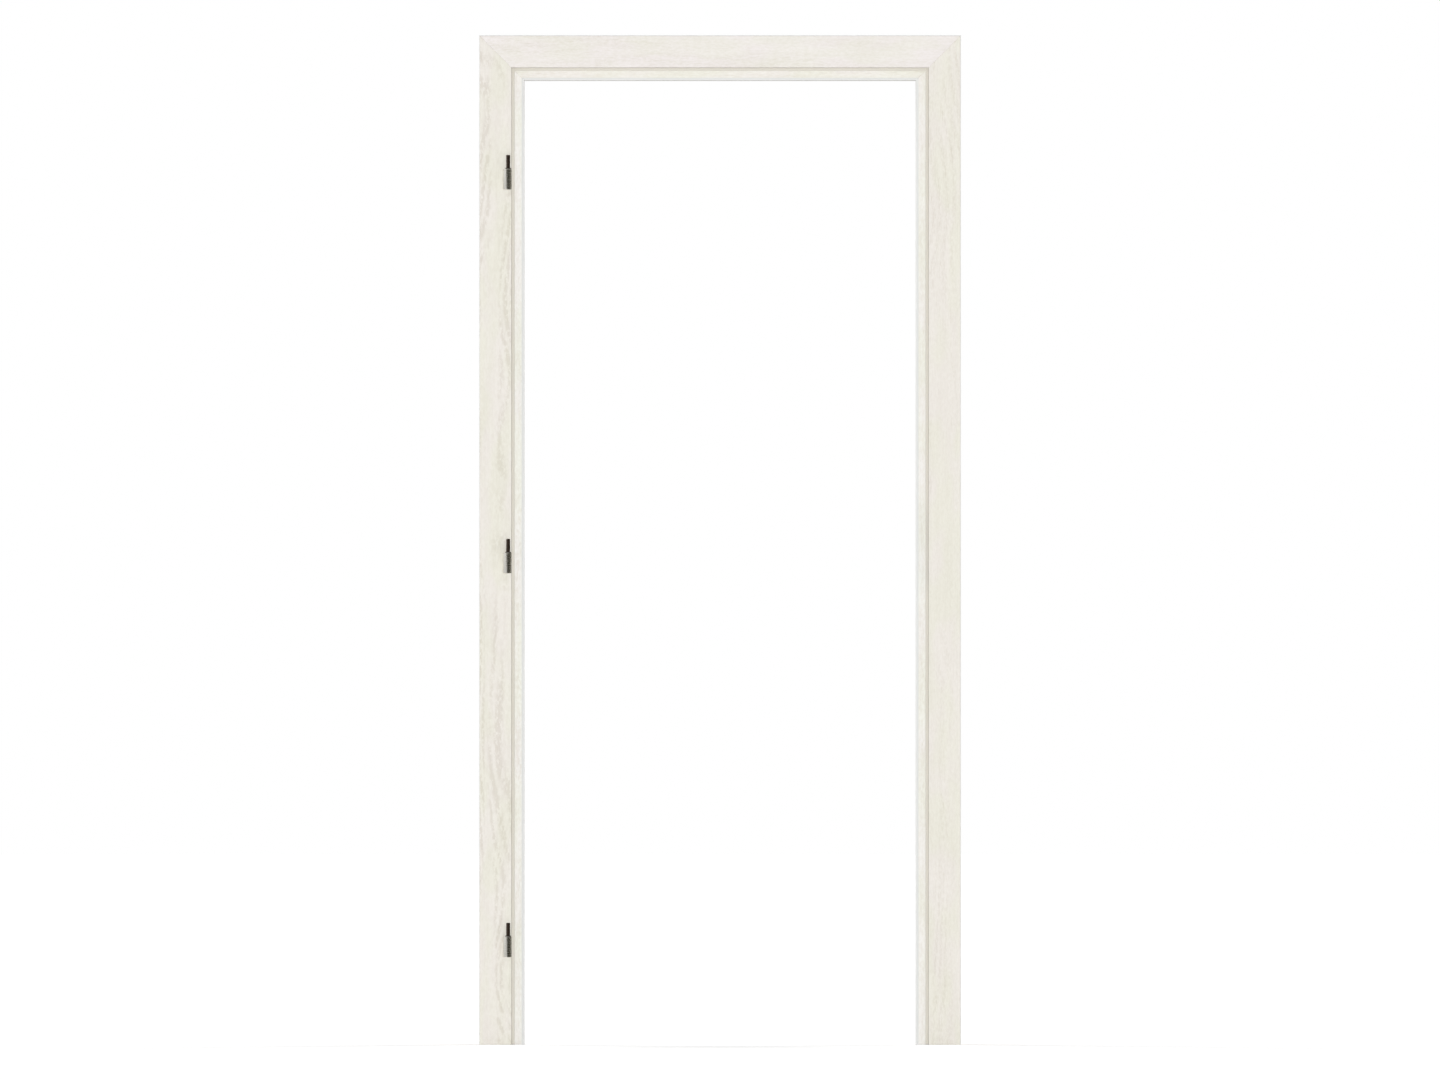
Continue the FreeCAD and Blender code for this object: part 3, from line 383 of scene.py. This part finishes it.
def oak_foil(name, member, faces, seed, figure, pale):
    """Whitewashed oak: rings in patches, streaks, strands, blotches, a mottle, a rosy and straw
    cast and short pores along the grain, with painted light and shade on the edges, over a bare
    board where the foil doesn't reach."""
    material, tree, shader = finish_of(name, {"Specular IOR Level": 0.5})
    place = grain_place(tree, member)
    rings = growth_rings(tree, place, seed)
    patch = figure_patches(tree, place, seed)
    layers = {}
    for layer, (scale, detail, roughness, _) in SHADING.items():
        layers[layer] = noise(tree, stretched(tree, place, scale, seed), detail, roughness)
    pores = noise(tree, stretched(tree, place, PORES, seed), detail=1.0)

    strong = calc(tree, "MULTIPLY", patch, span(tree, layers["mottle"], *MOTTLE_SPAN))
    shade = calc(tree, "MULTIPLY", calc(tree, "MULTIPLY", rings, strong), figure)
    for layer, grain in layers.items():
        share = SHADING[layer][3]
        shade = calc(tree, "MULTIPLY_ADD", span(tree, grain, *SHADING_SPAN), share, shade)
    oak = blend(tree, shade, ground_of(tree, place, pale), SHADED_OAK)
    oak = cast_over(tree, place, seed, oak)
    pitted = span(tree, pores, *PORE_SPAN)
    sparse, crowded = 0.12, 0.25
    depth = calc(tree, "MULTIPLY_ADD", calc(tree, "MULTIPLY", rings, patch), crowded, sparse)
    oak = blend(tree, calc(tree, "MULTIPLY", pitted, depth), oak, OAK_PORE)
    oak = blend(tree, calc(tree, "MULTIPLY", mitre_shade(tree), MITRE_TONE), oak, OAK_PORE)
    # Painted light and shade on the edges.
    oak = painted_edge_light_and_shade(tree, member, oak)

    chips = noise(tree, stretched(tree, place, BOARD_CHIPS), detail=3.0, roughness=0.7)
    board = blend(tree, span(tree, chips, *CHIP_SPAN), BOARD_LIGHT, BOARD_DARK)
    foil = covered(tree, member, faces)
    tone(tree, shader, foil, board, oak)
    satin, streaked, board_matt = 0.40, 0.12, 0.35
    smooth = calc(tree, "MULTIPLY_ADD", layers["streaks"], streaked, satin)
    matt = calc(tree, "MULTIPLY", calc(tree, "SUBTRACT", 1.0, foil), board_matt)
    tree.links.new(calc(tree, "ADD", smooth, matt), shader.inputs["Roughness"])
    height = calc(tree, "SUBTRACT", 1.0, calc(tree, "ADD", pitted, matt))
    lift(tree, shader, height, strength=0.25, distance=0.15 * MM)
    return material


# Metals, plastics, rubber and beech. A name that ends in per_metre says how many features of a
# pattern lie in a metre along X, Y and Z.

def satin_nickel():
    """Plated steel with fine turning marks, one ring per fraction of a millimetre of height."""
    material, tree, shader = finish_of("satin_nickel", {"Metallic": 1.0})
    light, dark = (0.83, 0.81, 0.75), (0.75, 0.73, 0.67)
    marks_per_metre, clouds_per_metre = (40.0, 40.0, 4200.0), (90.0, 90.0, 90.0)
    place = put(tree, "TexCoord").outputs["Object"]
    marks = noise(tree, stretched(tree, place, marks_per_metre))
    clouds = noise(tree, stretched(tree, place, clouds_per_metre))
    tone(tree, shader, clouds, light, dark)
    roughen(tree, shader, marks, least=0.20, more=0.12)
    lift(tree, shader, marks, strength=0.08, distance=0.05 * MM)
    return material


def burnished_steel():
    """Dark brown burnished steel, worn a little lighter in patches."""
    material, tree, shader = finish_of("burnished_steel", {"Metallic": 0.6})
    dark, worn = (0.032, 0.020, 0.013), (0.075, 0.052, 0.038)
    wear_per_metre, wear_span = (260.0, 260.0, 900.0), (0.4, 0.75)
    place = put(tree, "TexCoord").outputs["Object"]
    wear = noise(tree, stretched(tree, place, wear_per_metre), detail=3.0)
    tone(tree, shader, span(tree, wear, *wear_span), dark, worn)
    roughen(tree, shader, wear, least=0.25, more=0.25)
    return material


def zinc_plate():
    """Zinc plated steel with a faint crystal pattern."""
    material, tree, shader = finish_of("zinc_plate", {"Metallic": 1.0})
    light, dark = (0.62, 0.63, 0.64), (0.50, 0.52, 0.54)
    crystals_per_metre = 420.0
    place = put(tree, "TexCoord").outputs["Object"]
    crystals = put(tree, "TexVoronoi", {"Vector": place, "Scale": crystals_per_metre})
    grey = split(tree, crystals.outputs["Color"])[0]
    tone(tree, shader, grey, light, dark)
    roughen(tree, shader, grey, least=0.30, more=0.15)
    return material


def brushed_steel():
    """Stainless plate brushed along its height."""
    material, tree, shader = finish_of("brushed_steel", {"Metallic": 1.0})
    light, dark = (0.66, 0.65, 0.63), (0.48, 0.475, 0.46)
    lines_per_metre = (2600.0, 2600.0, 30.0)
    place = put(tree, "TexCoord").outputs["Object"]
    lines = noise(tree, stretched(tree, place, lines_per_metre), detail=3.0)
    tone(tree, shader, lines, light, dark)
    roughen(tree, shader, lines, least=0.24, more=0.18)
    lift(tree, shader, lines, strength=0.12, distance=0.05 * MM)
    return material


def moulded(name, light, roughness):
    """A moulded material with a faint mottle, a tenth darker at most."""
    material, tree, shader = finish_of(name, {"Specular IOR Level": 0.4})
    dark = tuple(0.9 * v for v in light)
    mottle_per_metre = (600.0, 600.0, 600.0)
    place = put(tree, "TexCoord").outputs["Object"]
    mottle = noise(tree, stretched(tree, place, mottle_per_metre))
    tone(tree, shader, mottle, light, dark)
    roughen(tree, shader, mottle, least=roughness, more=0.1)
    lift(tree, shader, mottle, strength=0.1, distance=0.05 * MM)
    return material


def beech():
    """Bare beech with short flecks."""
    material, tree, shader = finish_of("bare_beech", {"Roughness": 0.65})
    light, dark = (0.64, 0.45, 0.29), (0.50, 0.33, 0.20)
    flecks_per_metre, fleck_span = (300.0, 900.0, 300.0), (0.35, 0.65)
    place = put(tree, "TexCoord").outputs["Object"]
    flecks = noise(tree, stretched(tree, place, flecks_per_metre))
    tone(tree, shader, span(tree, flecks, *fleck_span), light, dark)
    return material


def finishes():
    """The foil of each member by its node, and each other finish by the name of its record slot.
    A member has a direction, a seed for its grain and a strength of its figure. A kind of member
    has its covered faces, a factor on that strength, and a ground tone for uprights and head; the
    linings' ground tones are painted light."""
    oak = {}
    members = {
        "left": ("upright", (0.6, 1.7, 2.3), 1.0),
        "right": ("upright", (3.1, 4.2, 6.0), 0.30),
        "head": ("head", (7.7, 2.3, 1.1), 0.16),
    }
    kinds = {
        "casing": (casing_faces, 1.0, PALE_OAK, PALE_HEAD),
        # The linings' ground tones are painted light against the rebate's shade.
        "lining": (lining_faces, 0.15, STOP_PAINTED_LIGHT_GROUND, HEAD_STOP_PAINTED_LIGHT_GROUND),
        "rear_casing": (rear_faces, 1.0, PALE_OAK, PALE_HEAD),
    }
    for kind, (faces, factor, on_upright, on_head) in kinds.items():
        for place, (member, seed, figure) in members.items():
            node = f"{kind}_{place}"
            pale = on_head if member == "head" else on_upright
            strength = factor * figure
            oak[node] = oak_foil(f"oak_foil_{node}", member, faces, seed, strength, pale)
    by_slot = {
        "seal": moulded("soft_seal", colour(223, 219, 209), 0.5),
        "hinge_steel": satin_nickel(),
        "pin_steel": burnished_steel(),
        "bearing_plastic": moulded("black_bearing", (0.022, 0.018, 0.016), 0.4),
        "zinc_steel": zinc_plate(),
        "plate_steel": brushed_steel(),
        "beech": beech(),
        "key_plastic": moulded("grey_key", (0.30, 0.30, 0.29), 0.45),
    }
    return oak, by_slot


def dress(node, material):
    """Gives a node of the frame its material, on the object and not on the mesh."""
    for holder in node.material_slots:
        holder.link = "OBJECT"
        holder.material = material


# New pieces, worked out as whole arrays.

def facing_out(points, faces):
    """The faces, all turned round if the volume that they close comes out negative. The volume is a
    sixth of the sum of the triple products of each face's fan of triangles."""
    volume = 0.0
    for size in {len(f) for f in faces}:
        corners = points[np.array([f for f in faces if len(f) == size])]
        for k in range(1, size - 1):
            across = np.cross(corners[:, k], corners[:, k + 1])
            volume += np.einsum("ij,ij->", corners[:, 0], across)
    return faces if volume > 0 else [f[::-1] for f in faces]


def strips(rows, columns, start=0):
    """Faces between neighbouring rings of points, row after row, each ring closed."""
    row = np.arange(rows - 1)[:, None] * columns
    here = np.arange(columns)[None, :]
    after = (here + 1) % columns
    quads = np.stack([row + here, row + after, row + columns + after, row + columns + here], -1)
    return (quads.reshape(-1, 4) + start).tolist()


def turned(rings):
    """A closed body round the Z axis. Its point at step j of ring k is at the angle a = 2 pi j /
    steps, at the ring's height h, and at (r(a) cos a, r(a) sin a). A ring is a pair of h and r,
    and r is a number or one radius per step. Both ends close in a point on the axis."""
    angles = np.arange(ROUND_STEPS) * 2 * math.pi / ROUND_STEPS
    heights = np.array([h for h, _ in rings])
    radii = np.stack([np.broadcast_to(r, ROUND_STEPS) for _, r in rings])
    up = np.broadcast_to(heights[:, None], radii.shape)
    body = np.stack([radii * np.cos(angles), radii * np.sin(angles), up], -1).reshape(-1, 3)
    ends = np.array([[0.0, 0.0, heights[0]], [0.0, 0.0, heights[-1]]])
    points = np.concatenate([body, ends])
    here = np.arange(ROUND_STEPS)
    after = (here + 1) % ROUND_STEPS
    last = (len(rings) - 1) * ROUND_STEPS
    foot = np.stack([np.full(ROUND_STEPS, len(body)), after, here], -1)
    top = np.stack([np.full(ROUND_STEPS, len(body) + 1), last + here, last + after], -1)
    return points, strips(len(rings), ROUND_STEPS) + foot.tolist() + top.tolist()


def six_sided(across_flats):
    """The radius of a hexagon at each step: half its width over the cosine of the angle from the
    nearest flat's middle."""
    angles = np.arange(ROUND_STEPS) * 2 * math.pi / ROUND_STEPS
    off = (angles + math.pi / 6) % (math.pi / 3) - math.pi / 6
    return across_flats / 2 / np.cos(off)


def cross_shaped(arm, width):
    """The radius of a cross at each step: the arm's reach, or half its width over the sine of the
    angle from the nearest arm where that is less."""
    angles = np.arange(ROUND_STEPS) * 2 * math.pi / ROUND_STEPS
    off = np.abs((angles + math.pi / 4) % (math.pi / 2) - math.pi / 4)
    return np.minimum(arm, width / 2 / np.maximum(np.sin(off), NEAR_ZERO))


def quarter(radius, steps=6):
    """Points of a quarter circle as pairs of height above its start and distance inwards: radius
    times 1 - cos t and radius times 1 - sin t, for t from 0 to a right angle."""
    t = np.linspace(0, math.pi / 2, steps)
    return list(zip(radius * (1 - np.cos(t)), radius * (1 - np.sin(t))))


def slab(low, high, edge):
    """A block with rounded upright edges and bevelled ends. Its outline is the block's, with a
    quarter circle of three points at each corner. At both ends it is drawn in by the edge, half of
    it by moving the corners' centres and half by a smaller radius."""
    low, high = np.array(low), np.array(high)
    middle = (low + high) / 2
    per_corner = 3
    corner, step = np.divmod(np.arange(4 * per_corner), per_corner)
    turn = corner * math.pi / 2 + step * math.pi / 4
    diagonal = turn[step == 1]
    signs = np.sign(np.stack([np.cos(diagonal), np.sin(diagonal)], -1))
    signs = np.repeat(signs, per_corner, axis=0)
    levels = ((low[2], edge), (low[2] + edge, 0), (high[2] - edge, 0), (high[2], edge))
    rows = []
    for level, drawn_in in levels:
        half = (high - low)[:2] / 2 - edge
        round_part = (edge - drawn_in / 2) * np.stack([np.cos(turn), np.sin(turn)], -1)
        outline = middle[:2] + signs * (half - drawn_in / 2) + round_part
        rows.append(np.column_stack([outline, np.full(len(turn), level)]))
    points = np.concatenate(rows)
    count = len(turn)
    caps = [list(range(count))[::-1], list(range(len(points) - count, len(points)))]
    return points, strips(len(levels), count) + caps


def laid(points, place, way="up"):
    """Points of an upright piece moved to a place. To the left the piece is laid down first: the
    new X is the old -Z and the new Z the old X."""
    x, y, z = points.T
    ways = {"up": (x, y, z), "left": (-z, y, x)}
    return np.stack(ways[way], -1) + np.array(place)


def piece(name, parts, material, replaced, body="frame"):
    """One object from several closed parts, smooth but for its sharp edges."""
    points, faces = [], []
    for part_points, part_faces in parts:
        start = sum(len(p) for p in points)
        points.append(part_points)
        faces += [[start + i for i in face] for face in facing_out(part_points, part_faces)]
    mesh = bpy.data.meshes.new(name)
    mesh.from_pydata(np.concatenate(points).tolist(), [], faces)
    mesh.polygons.foreach_set("use_smooth", np.ones(len(mesh.polygons), bool))
    mesh.set_sharp_from_angle(angle=SMOOTH_ANGLE)
    mesh.materials.append(material)
    made = bpy.data.objects.new(name, mesh)
    bpy.context.scene.collection.objects.link(made)
    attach(made, body)
    if replaced:
        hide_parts(*replaced)


def middle_of(node):
    """The middle of a node's box."""
    low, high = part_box(node)
    return (low + high) / 2


def build_knuckles(material):
    """Barrels with a rounded foot, a bevelled rim and a blind bore, each with its flat lug."""
    foot_round, rim = 1.6 * MM, 0.5 * MM
    wall, bore_depth = 1.48 * MM, 32 * MM
    lug_edge, lug_half = 0.35 * MM, 1.75 * MM
    lug_height = 34 * MM
    for level in LEVELS:
        node = f"hinge_knuckle_{level}"
        low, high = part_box(node)
        radius = (high.x - low.x) / 2
        length = high.z - low.z
        rings = [(up, radius - inwards) for up, inwards in quarter(foot_round)]
        rings += [
            (length - rim, radius),
            (length, radius - rim),
            (length, radius - wall),
            (length - bore_depth, radius - wall),
        ]
        x, y = low.x + radius, low.y + radius
        barrel_points, barrel_faces = turned(rings)
        barrel = (laid(barrel_points, (x, y, low.z)), barrel_faces)
        lug_low = (x - lug_half, y + radius - wall / 2, middle_of(node).z - lug_height / 2)
        lug_high = (x + lug_half, high.y, middle_of(node).z + lug_height / 2)
        lug = slab(lug_low, lug_high, lug_edge)
        piece(f"knuckle_{level}", [barrel, lug], material, [node])


def build_pins(material):
    """Pins with a thick root in the bush and a rounded tip."""
    shoulder, running, tip_round, edge = 34 * MM, 4 * MM, 1.6 * MM, 0.3 * MM
    for level in LEVELS:
        node = f"hinge_pin_{level}"
        low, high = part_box(node)
        root = (high.x - low.x) / 2
        length = high.z - low.z
        dome = [(length - up, running - inwards) for up, inwards in quarter(tip_round)]
        rings = [(0, root - edge), (edge, root), (shoulder, root), (shoulder, running)] + dome[::-1]
        points, faces = turned(rings)
        place = (low.x + root, low.y + root, low.z)
        piece(f"pin_{level}", [(laid(points, place), faces)], material, [node])


def build_clamp_screws(material):
    """Grub screws with a bevelled end and a six-sided socket, two in each receiver."""
    radius, length, bevel = 4 * MM, 10 * MM, 0.6 * MM
    socket, socket_depth = 4 * MM, 4.5 * MM
    pitch = 22 * MM
    rings = [
        (0, radius - bevel),
        (bevel, radius),
        (length - bevel, radius),
        (length, radius - bevel),
        (length, six_sided(socket)),
        (length - socket_depth, six_sided(socket)),
    ]
    low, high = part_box("hinge_clamp_screws")
    parts = []
    for level in LEVELS:
        for up in (-1, 1):
            points, faces = turned(rings)
            z = middle_of(f"hinge_knuckle_{level}").z + up * pitch / 2
            parts.append((laid(points, (high.x, (low.y + high.y) / 2, z), "left"), faces))
    piece("clamp_screws", parts, material, ["hinge_clamp_screws"])


def build_receiver_screws(material):
    """Pan head screws in the flanges of the receivers, with a cross in each head, which is a flat
    dome: at each step t its ring is height sin t up and head cos t wide. Two screws sit in each
    flange, at shares of its depth."""
    head, height, sunk, flange, ledge = 3.8 * MM, 2.3 * MM, 0.2 * MM, 20 * MM, 3 * MM
    arm, slot_width, slot_depth = 2.1 * MM, 0.9 * MM, 1.6 * MM
    shares, steps = (0.27, 0.73), 7
    cross = cross_shaped(arm, slot_width)
    turns = np.linspace(0, math.pi / 3, steps)
    dome = [(height * math.sin(t), head * math.cos(t)) for t in turns]
    top = dome[-1][0]
    rings = [(-sunk, head)] + dome[:-1] + [(top, cross), (top - slot_depth, CROSS_TAPER * cross)]
    parts = []
    for level in LEVELS:
        low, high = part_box(f"hinge_receiver_{level}")
        for end in (low.z + flange / 2, high.z - flange / 2):
            for share in shares:
                y = low.y + share * (high.y - low.y)
                points, faces = turned(rings)
                parts.append((laid(points, (high.x - ledge, y, end), "left"), faces))
    piece("receiver_screws", parts, material, [])


def build_strike_screws(material):
    """Countersunk screws of the strike plate, with a cross in each head."""
    head, shank, point, length, sink = 4 * MM, 2 * MM, 0.6 * MM, 16 * MM, 2 * MM
    arm, slot_width, slot_depth = 2.2 * MM, 0.9 * MM, 1.5 * MM
    cross = cross_shaped(arm, slot_width)
    rings = [
        (0, point),
        (shank, shank),
        (length - sink, shank),
        (length, head),
        (length, cross),
        (length - slot_depth, CROSS_TAPER * cross),
    ]
    low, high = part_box("strike_screws")
    parts = []
    for z in (low.z + head, high.z - head):
        points, faces = turned(rings)
        parts.append((laid(points, (high.x, (low.y + high.y) / 2, z), "left"), faces))
    piece("strike_plate_screws", parts, material, ["strike_screws"])


def seal_line():
    """The seal's middle line, as points in X and Z with the direction towards the opening: up, a
    quarter circle, across, a quarter circle and down. With each point goes how many times further
    the soft outer half reaches there: once along the runs, and in a corner as far as the square
    rebate, which is the straight run's distance over the larger of cos t and sin t."""
    bend, steps = 4.5 * MM, 11
    low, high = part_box("rebate_seal")
    side, top = high.x - SEAL_HALF, high.z - SEAL_HALF
    t = np.linspace(0, math.pi / 2, steps)
    inwards = np.column_stack([np.cos(t), -np.sin(t)])
    corner = np.array([-side + bend, top - bend]) - bend * inwards
    to_square = (bend + SEAL_HALF) / np.maximum(np.cos(t), np.sin(t))
    reach = np.concatenate([[1.0], (to_square - bend) / SEAL_HALF])
    points = np.concatenate([[[-side, low.z]], corner])
    inwards = np.concatenate([[[1.0, 0.0]], inwards])
    mirror = np.array([-1.0, 1.0])
    line = np.concatenate([points, points[::-1] * mirror])
    towards = np.concatenate([inwards, inwards[::-1] * mirror])
    return line, towards, np.concatenate([reach, reach[::-1]])


def carried(outline, line, towards, reach):
    """An outline of (inwards, Y) carried along a line: each point is the line's point plus its
    inward direction times the first number, with the second number as its Y. Where the first
    number points outwards, it is multiplied by the line's reach."""
    across = outline[None, :, 0] * np.where(outline[None, :, 0] < 0, reach[:, None], 1.0)
    flat = line[:, None, :] + towards[:, None, :] * across[:, :, None]
    y = np.broadcast_to(outline[None, :, 1], flat.shape[:2])
    return np.stack([flat[..., 0], y, flat[..., 1]], -1)


def tube_outline(half_width, front, foot, radius, steps=8):
    """A flat front and two straight sides back to the foot, joined by quarter circles. One half goes
    through (half_width - radius + radius cos t, front + radius - radius sin t), for t from 0 to a
    right angle, and the other half is its mirror image."""
    t = np.linspace(0, math.pi / 2, steps)
    across = half_width - radius + radius * np.cos(t)
    deep = front + radius - radius * np.sin(t)
    side = np.column_stack([np.append(half_width, across), np.append(foot, deep)])
    return np.concatenate([side, side[::-1] * np.array([-1.0, 1.0])])


def build_seal(material):
    """The tube of the seal, hollow and closed by a ring at each end, and its barbed stem."""
    wall, height, corner = 0.8 * MM, 4.3 * MM, 1.0 * MM
    depth, clearance = 7.5 * MM, 0.2 * MM
    slim, wide, pitch = 0.9 * MM, 1.8 * MM, 2.6 * MM
    foot = STOP_FACE - clearance
    line, towards, reach = seal_line()
    skin = tube_outline(SEAL_HALF, foot - height, foot, corner)
    hollow = tube_outline(SEAL_HALF - wall, foot - height + wall, foot - wall, corner - wall)
    outer = carried(skin, line, towards, reach)
    inner = carried(hollow, line, towards, reach)
    rows, columns = outer.shape[:2]
    points = np.concatenate([outer.reshape(-1, 3), inner.reshape(-1, 3)])
    shift = rows * columns
    faces = strips(rows, columns) + [f[::-1] for f in strips(rows, columns, shift)]
    here = np.arange(columns)
    after = (here + 1) % columns
    start_ring = np.stack([here, here + shift, after + shift, after], -1)
    end_ring = np.stack([here, after, after + shift, here + shift], -1) + (rows - 1) * columns
    faces += start_ring.tolist() + end_ring.tolist()

    half = [(slim, foot - wall / 2)]
    for step in (1, 2):
        level = STOP_FACE + step * pitch - slim
        half += [(slim, level), (wide, level), (slim, level + 2 * slim)]
    stem = np.array(half + [(0.0, STOP_FACE + depth)] + [(-a, y) for a, y in half[::-1]])
    web = carried(stem, line, towards, np.ones(len(line)))
    web_faces = strips(*web.shape[:2])
    count = len(stem)
    last = (web.shape[0] - 1) * count
    web_faces += [list(range(count))[::-1], list(range(last, last + count))]
    parts = [(points, faces), (web.reshape(-1, 3), web_faces)]
    piece("seal", parts, material, ["rebate_seal"])


# Studio.

def build_floor():
    """A pale floor that the camera sees as white and that keeps the object's shadow."""
    size, below = 120.0, 0.3 * MM
    bpy.ops.mesh.primitive_plane_add(size=size, location=(0.0, 0.0, -below))
    floor = bpy.context.object
    floor.name = "floor"
    material = bpy.data.materials.new("pale_floor")
    material.use_nodes = True
    tree = material.node_tree
    tree.nodes.clear()
    seen = put(tree, "LightPath").outputs["Is Camera Ray"]
    paint = put(tree, "BsdfDiffuse", {"Color": FLOOR_TONE})
    lit = put(tree, "Emission", {"Strength": calc(tree, "MULTIPLY", seen, FLOOR_GLOW)})
    both = put(tree, "AddShader", {0: paint.outputs[0], 1: lit.outputs[0]})
    put(tree, "OutputMaterial", {"Surface": both.outputs[0]})
    floor.data.materials.append(material)


def build_cards():
    """Dark cards that only reflections see, as a studio sets them to give polished barrels their
    dark side: one stands on the right of the frame, one far in front of it, and one lies on the
    floor where those two meet."""
    near_x, far_x, front_x = -0.43, 1.2, -7.4
    first_y, last_y = -14.0, 6.0
    low_z, high_z = 1 * MM, 5.0
    corners = [
        (far_x, first_y, high_z),
        (far_x, last_y, high_z),
        (far_x, last_y, low_z),
        (far_x, first_y, low_z),
        (near_x, last_y, low_z),
        (near_x, first_y, low_z),
        (front_x, first_y, low_z),
        (front_x, first_y, high_z),
    ]
    mesh = bpy.data.meshes.new("dark_cards")
    mesh.from_pydata(corners, [], [(0, 1, 2, 3), (3, 2, 4, 5), (7, 0, 3, 6)])
    cards = bpy.data.objects.new("dark_cards", mesh)
    bpy.context.scene.collection.objects.link(cards)
    constants = {"Base Color": CARD_TONE, "Roughness": 1.0, "Specular IOR Level": 0.0}
    mesh.materials.append(finish_of("dark_card", constants)[0])
    cards.visible_camera = False
    cards.visible_diffuse = False
    cards.visible_transmission = False
    cards.visible_shadow = False


def build_sun(name, heading, height, share, softness):
    """A soft sun with the settings of SUNS, which no reflection shows."""
    data = bpy.data.lights.new(name, "SUN")
    data.angle = math.radians(softness)
    data.energy = math.pi * share
    sun = bpy.data.objects.new(name, data)
    bpy.context.scene.collection.objects.link(sun)
    sun.rotation_euler = (math.radians(90 - height), 0.0, math.radians(heading))
    sun.visible_glossy = False


def build_world():
    """White where the camera, a reflection or glass looks, and plain ambient light elsewhere."""
    world = bpy.data.worlds.new("studio")
    bpy.context.scene.world = world
    world.use_nodes = True
    tree = world.node_tree
    tree.nodes.clear()
    path = put(tree, "LightPath").outputs
    seen = any_of(tree, [path["Is Camera Ray"], path["Is Glossy Ray"], path["Is Transmission Ray"]])
    strength = calc(tree, "MULTIPLY_ADD", seen, 1.0 - AMBIENT, AMBIENT)
    sky = put(tree, "Background", {"Color": (1.0, 1.0, 1.0, 1.0), "Strength": strength})
    put(tree, "OutputWorld", {"Surface": sky.outputs[0]})


def build_camera():
    """A long lens in front of the frame, level with its middle, at the photograph's scale."""
    middle_column, middle_row = PHOTO_WIDTH / 2, PHOTO_HEIGHT / 2
    data = bpy.data.cameras.new("camera")
    data.sensor_width = SENSOR_WIDTH
    data.lens = SENSOR_WIDTH * CAMERA_DISTANCE / (PHOTO_WIDTH * METRES_PER_PIXEL)
    data.clip_end = 4 * CAMERA_DISTANCE
    camera = bpy.data.objects.new("camera", data)
    bpy.context.scene.collection.objects.link(camera)
    x = (middle_column - FRAME_MIDDLE_COLUMN) * METRES_PER_PIXEL
    z = OUTER_TOP / 2 - (middle_row - FRAME_MIDDLE_ROW) * METRES_PER_PIXEL
    camera.location = (x, FRONT_FACE - CAMERA_DISTANCE, z)
    camera.rotation_euler = (math.pi / 2, 0.0, 0.0)
    bpy.context.scene.camera = camera


oak, by_slot = finishes()
slots = {row["node"]: row["material_slot"] for row in frame["record"]["subparts"]}
for name, node in frame["nodes"].items():
    dress(node, oak[name] if name in oak else by_slot[slots[name]])

build_knuckles(by_slot["hinge_steel"])
build_pins(by_slot["pin_steel"])
build_clamp_screws(by_slot["pin_steel"])
build_receiver_screws(by_slot["zinc_steel"])
build_strike_screws(by_slot["zinc_steel"])
build_seal(by_slot["seal"])

build_floor()
build_cards()
for name, settings in SUNS.items():
    build_sun(name, *settings)
build_world()
build_camera()
bpy.context.scene.view_settings.view_transform = "Standard"
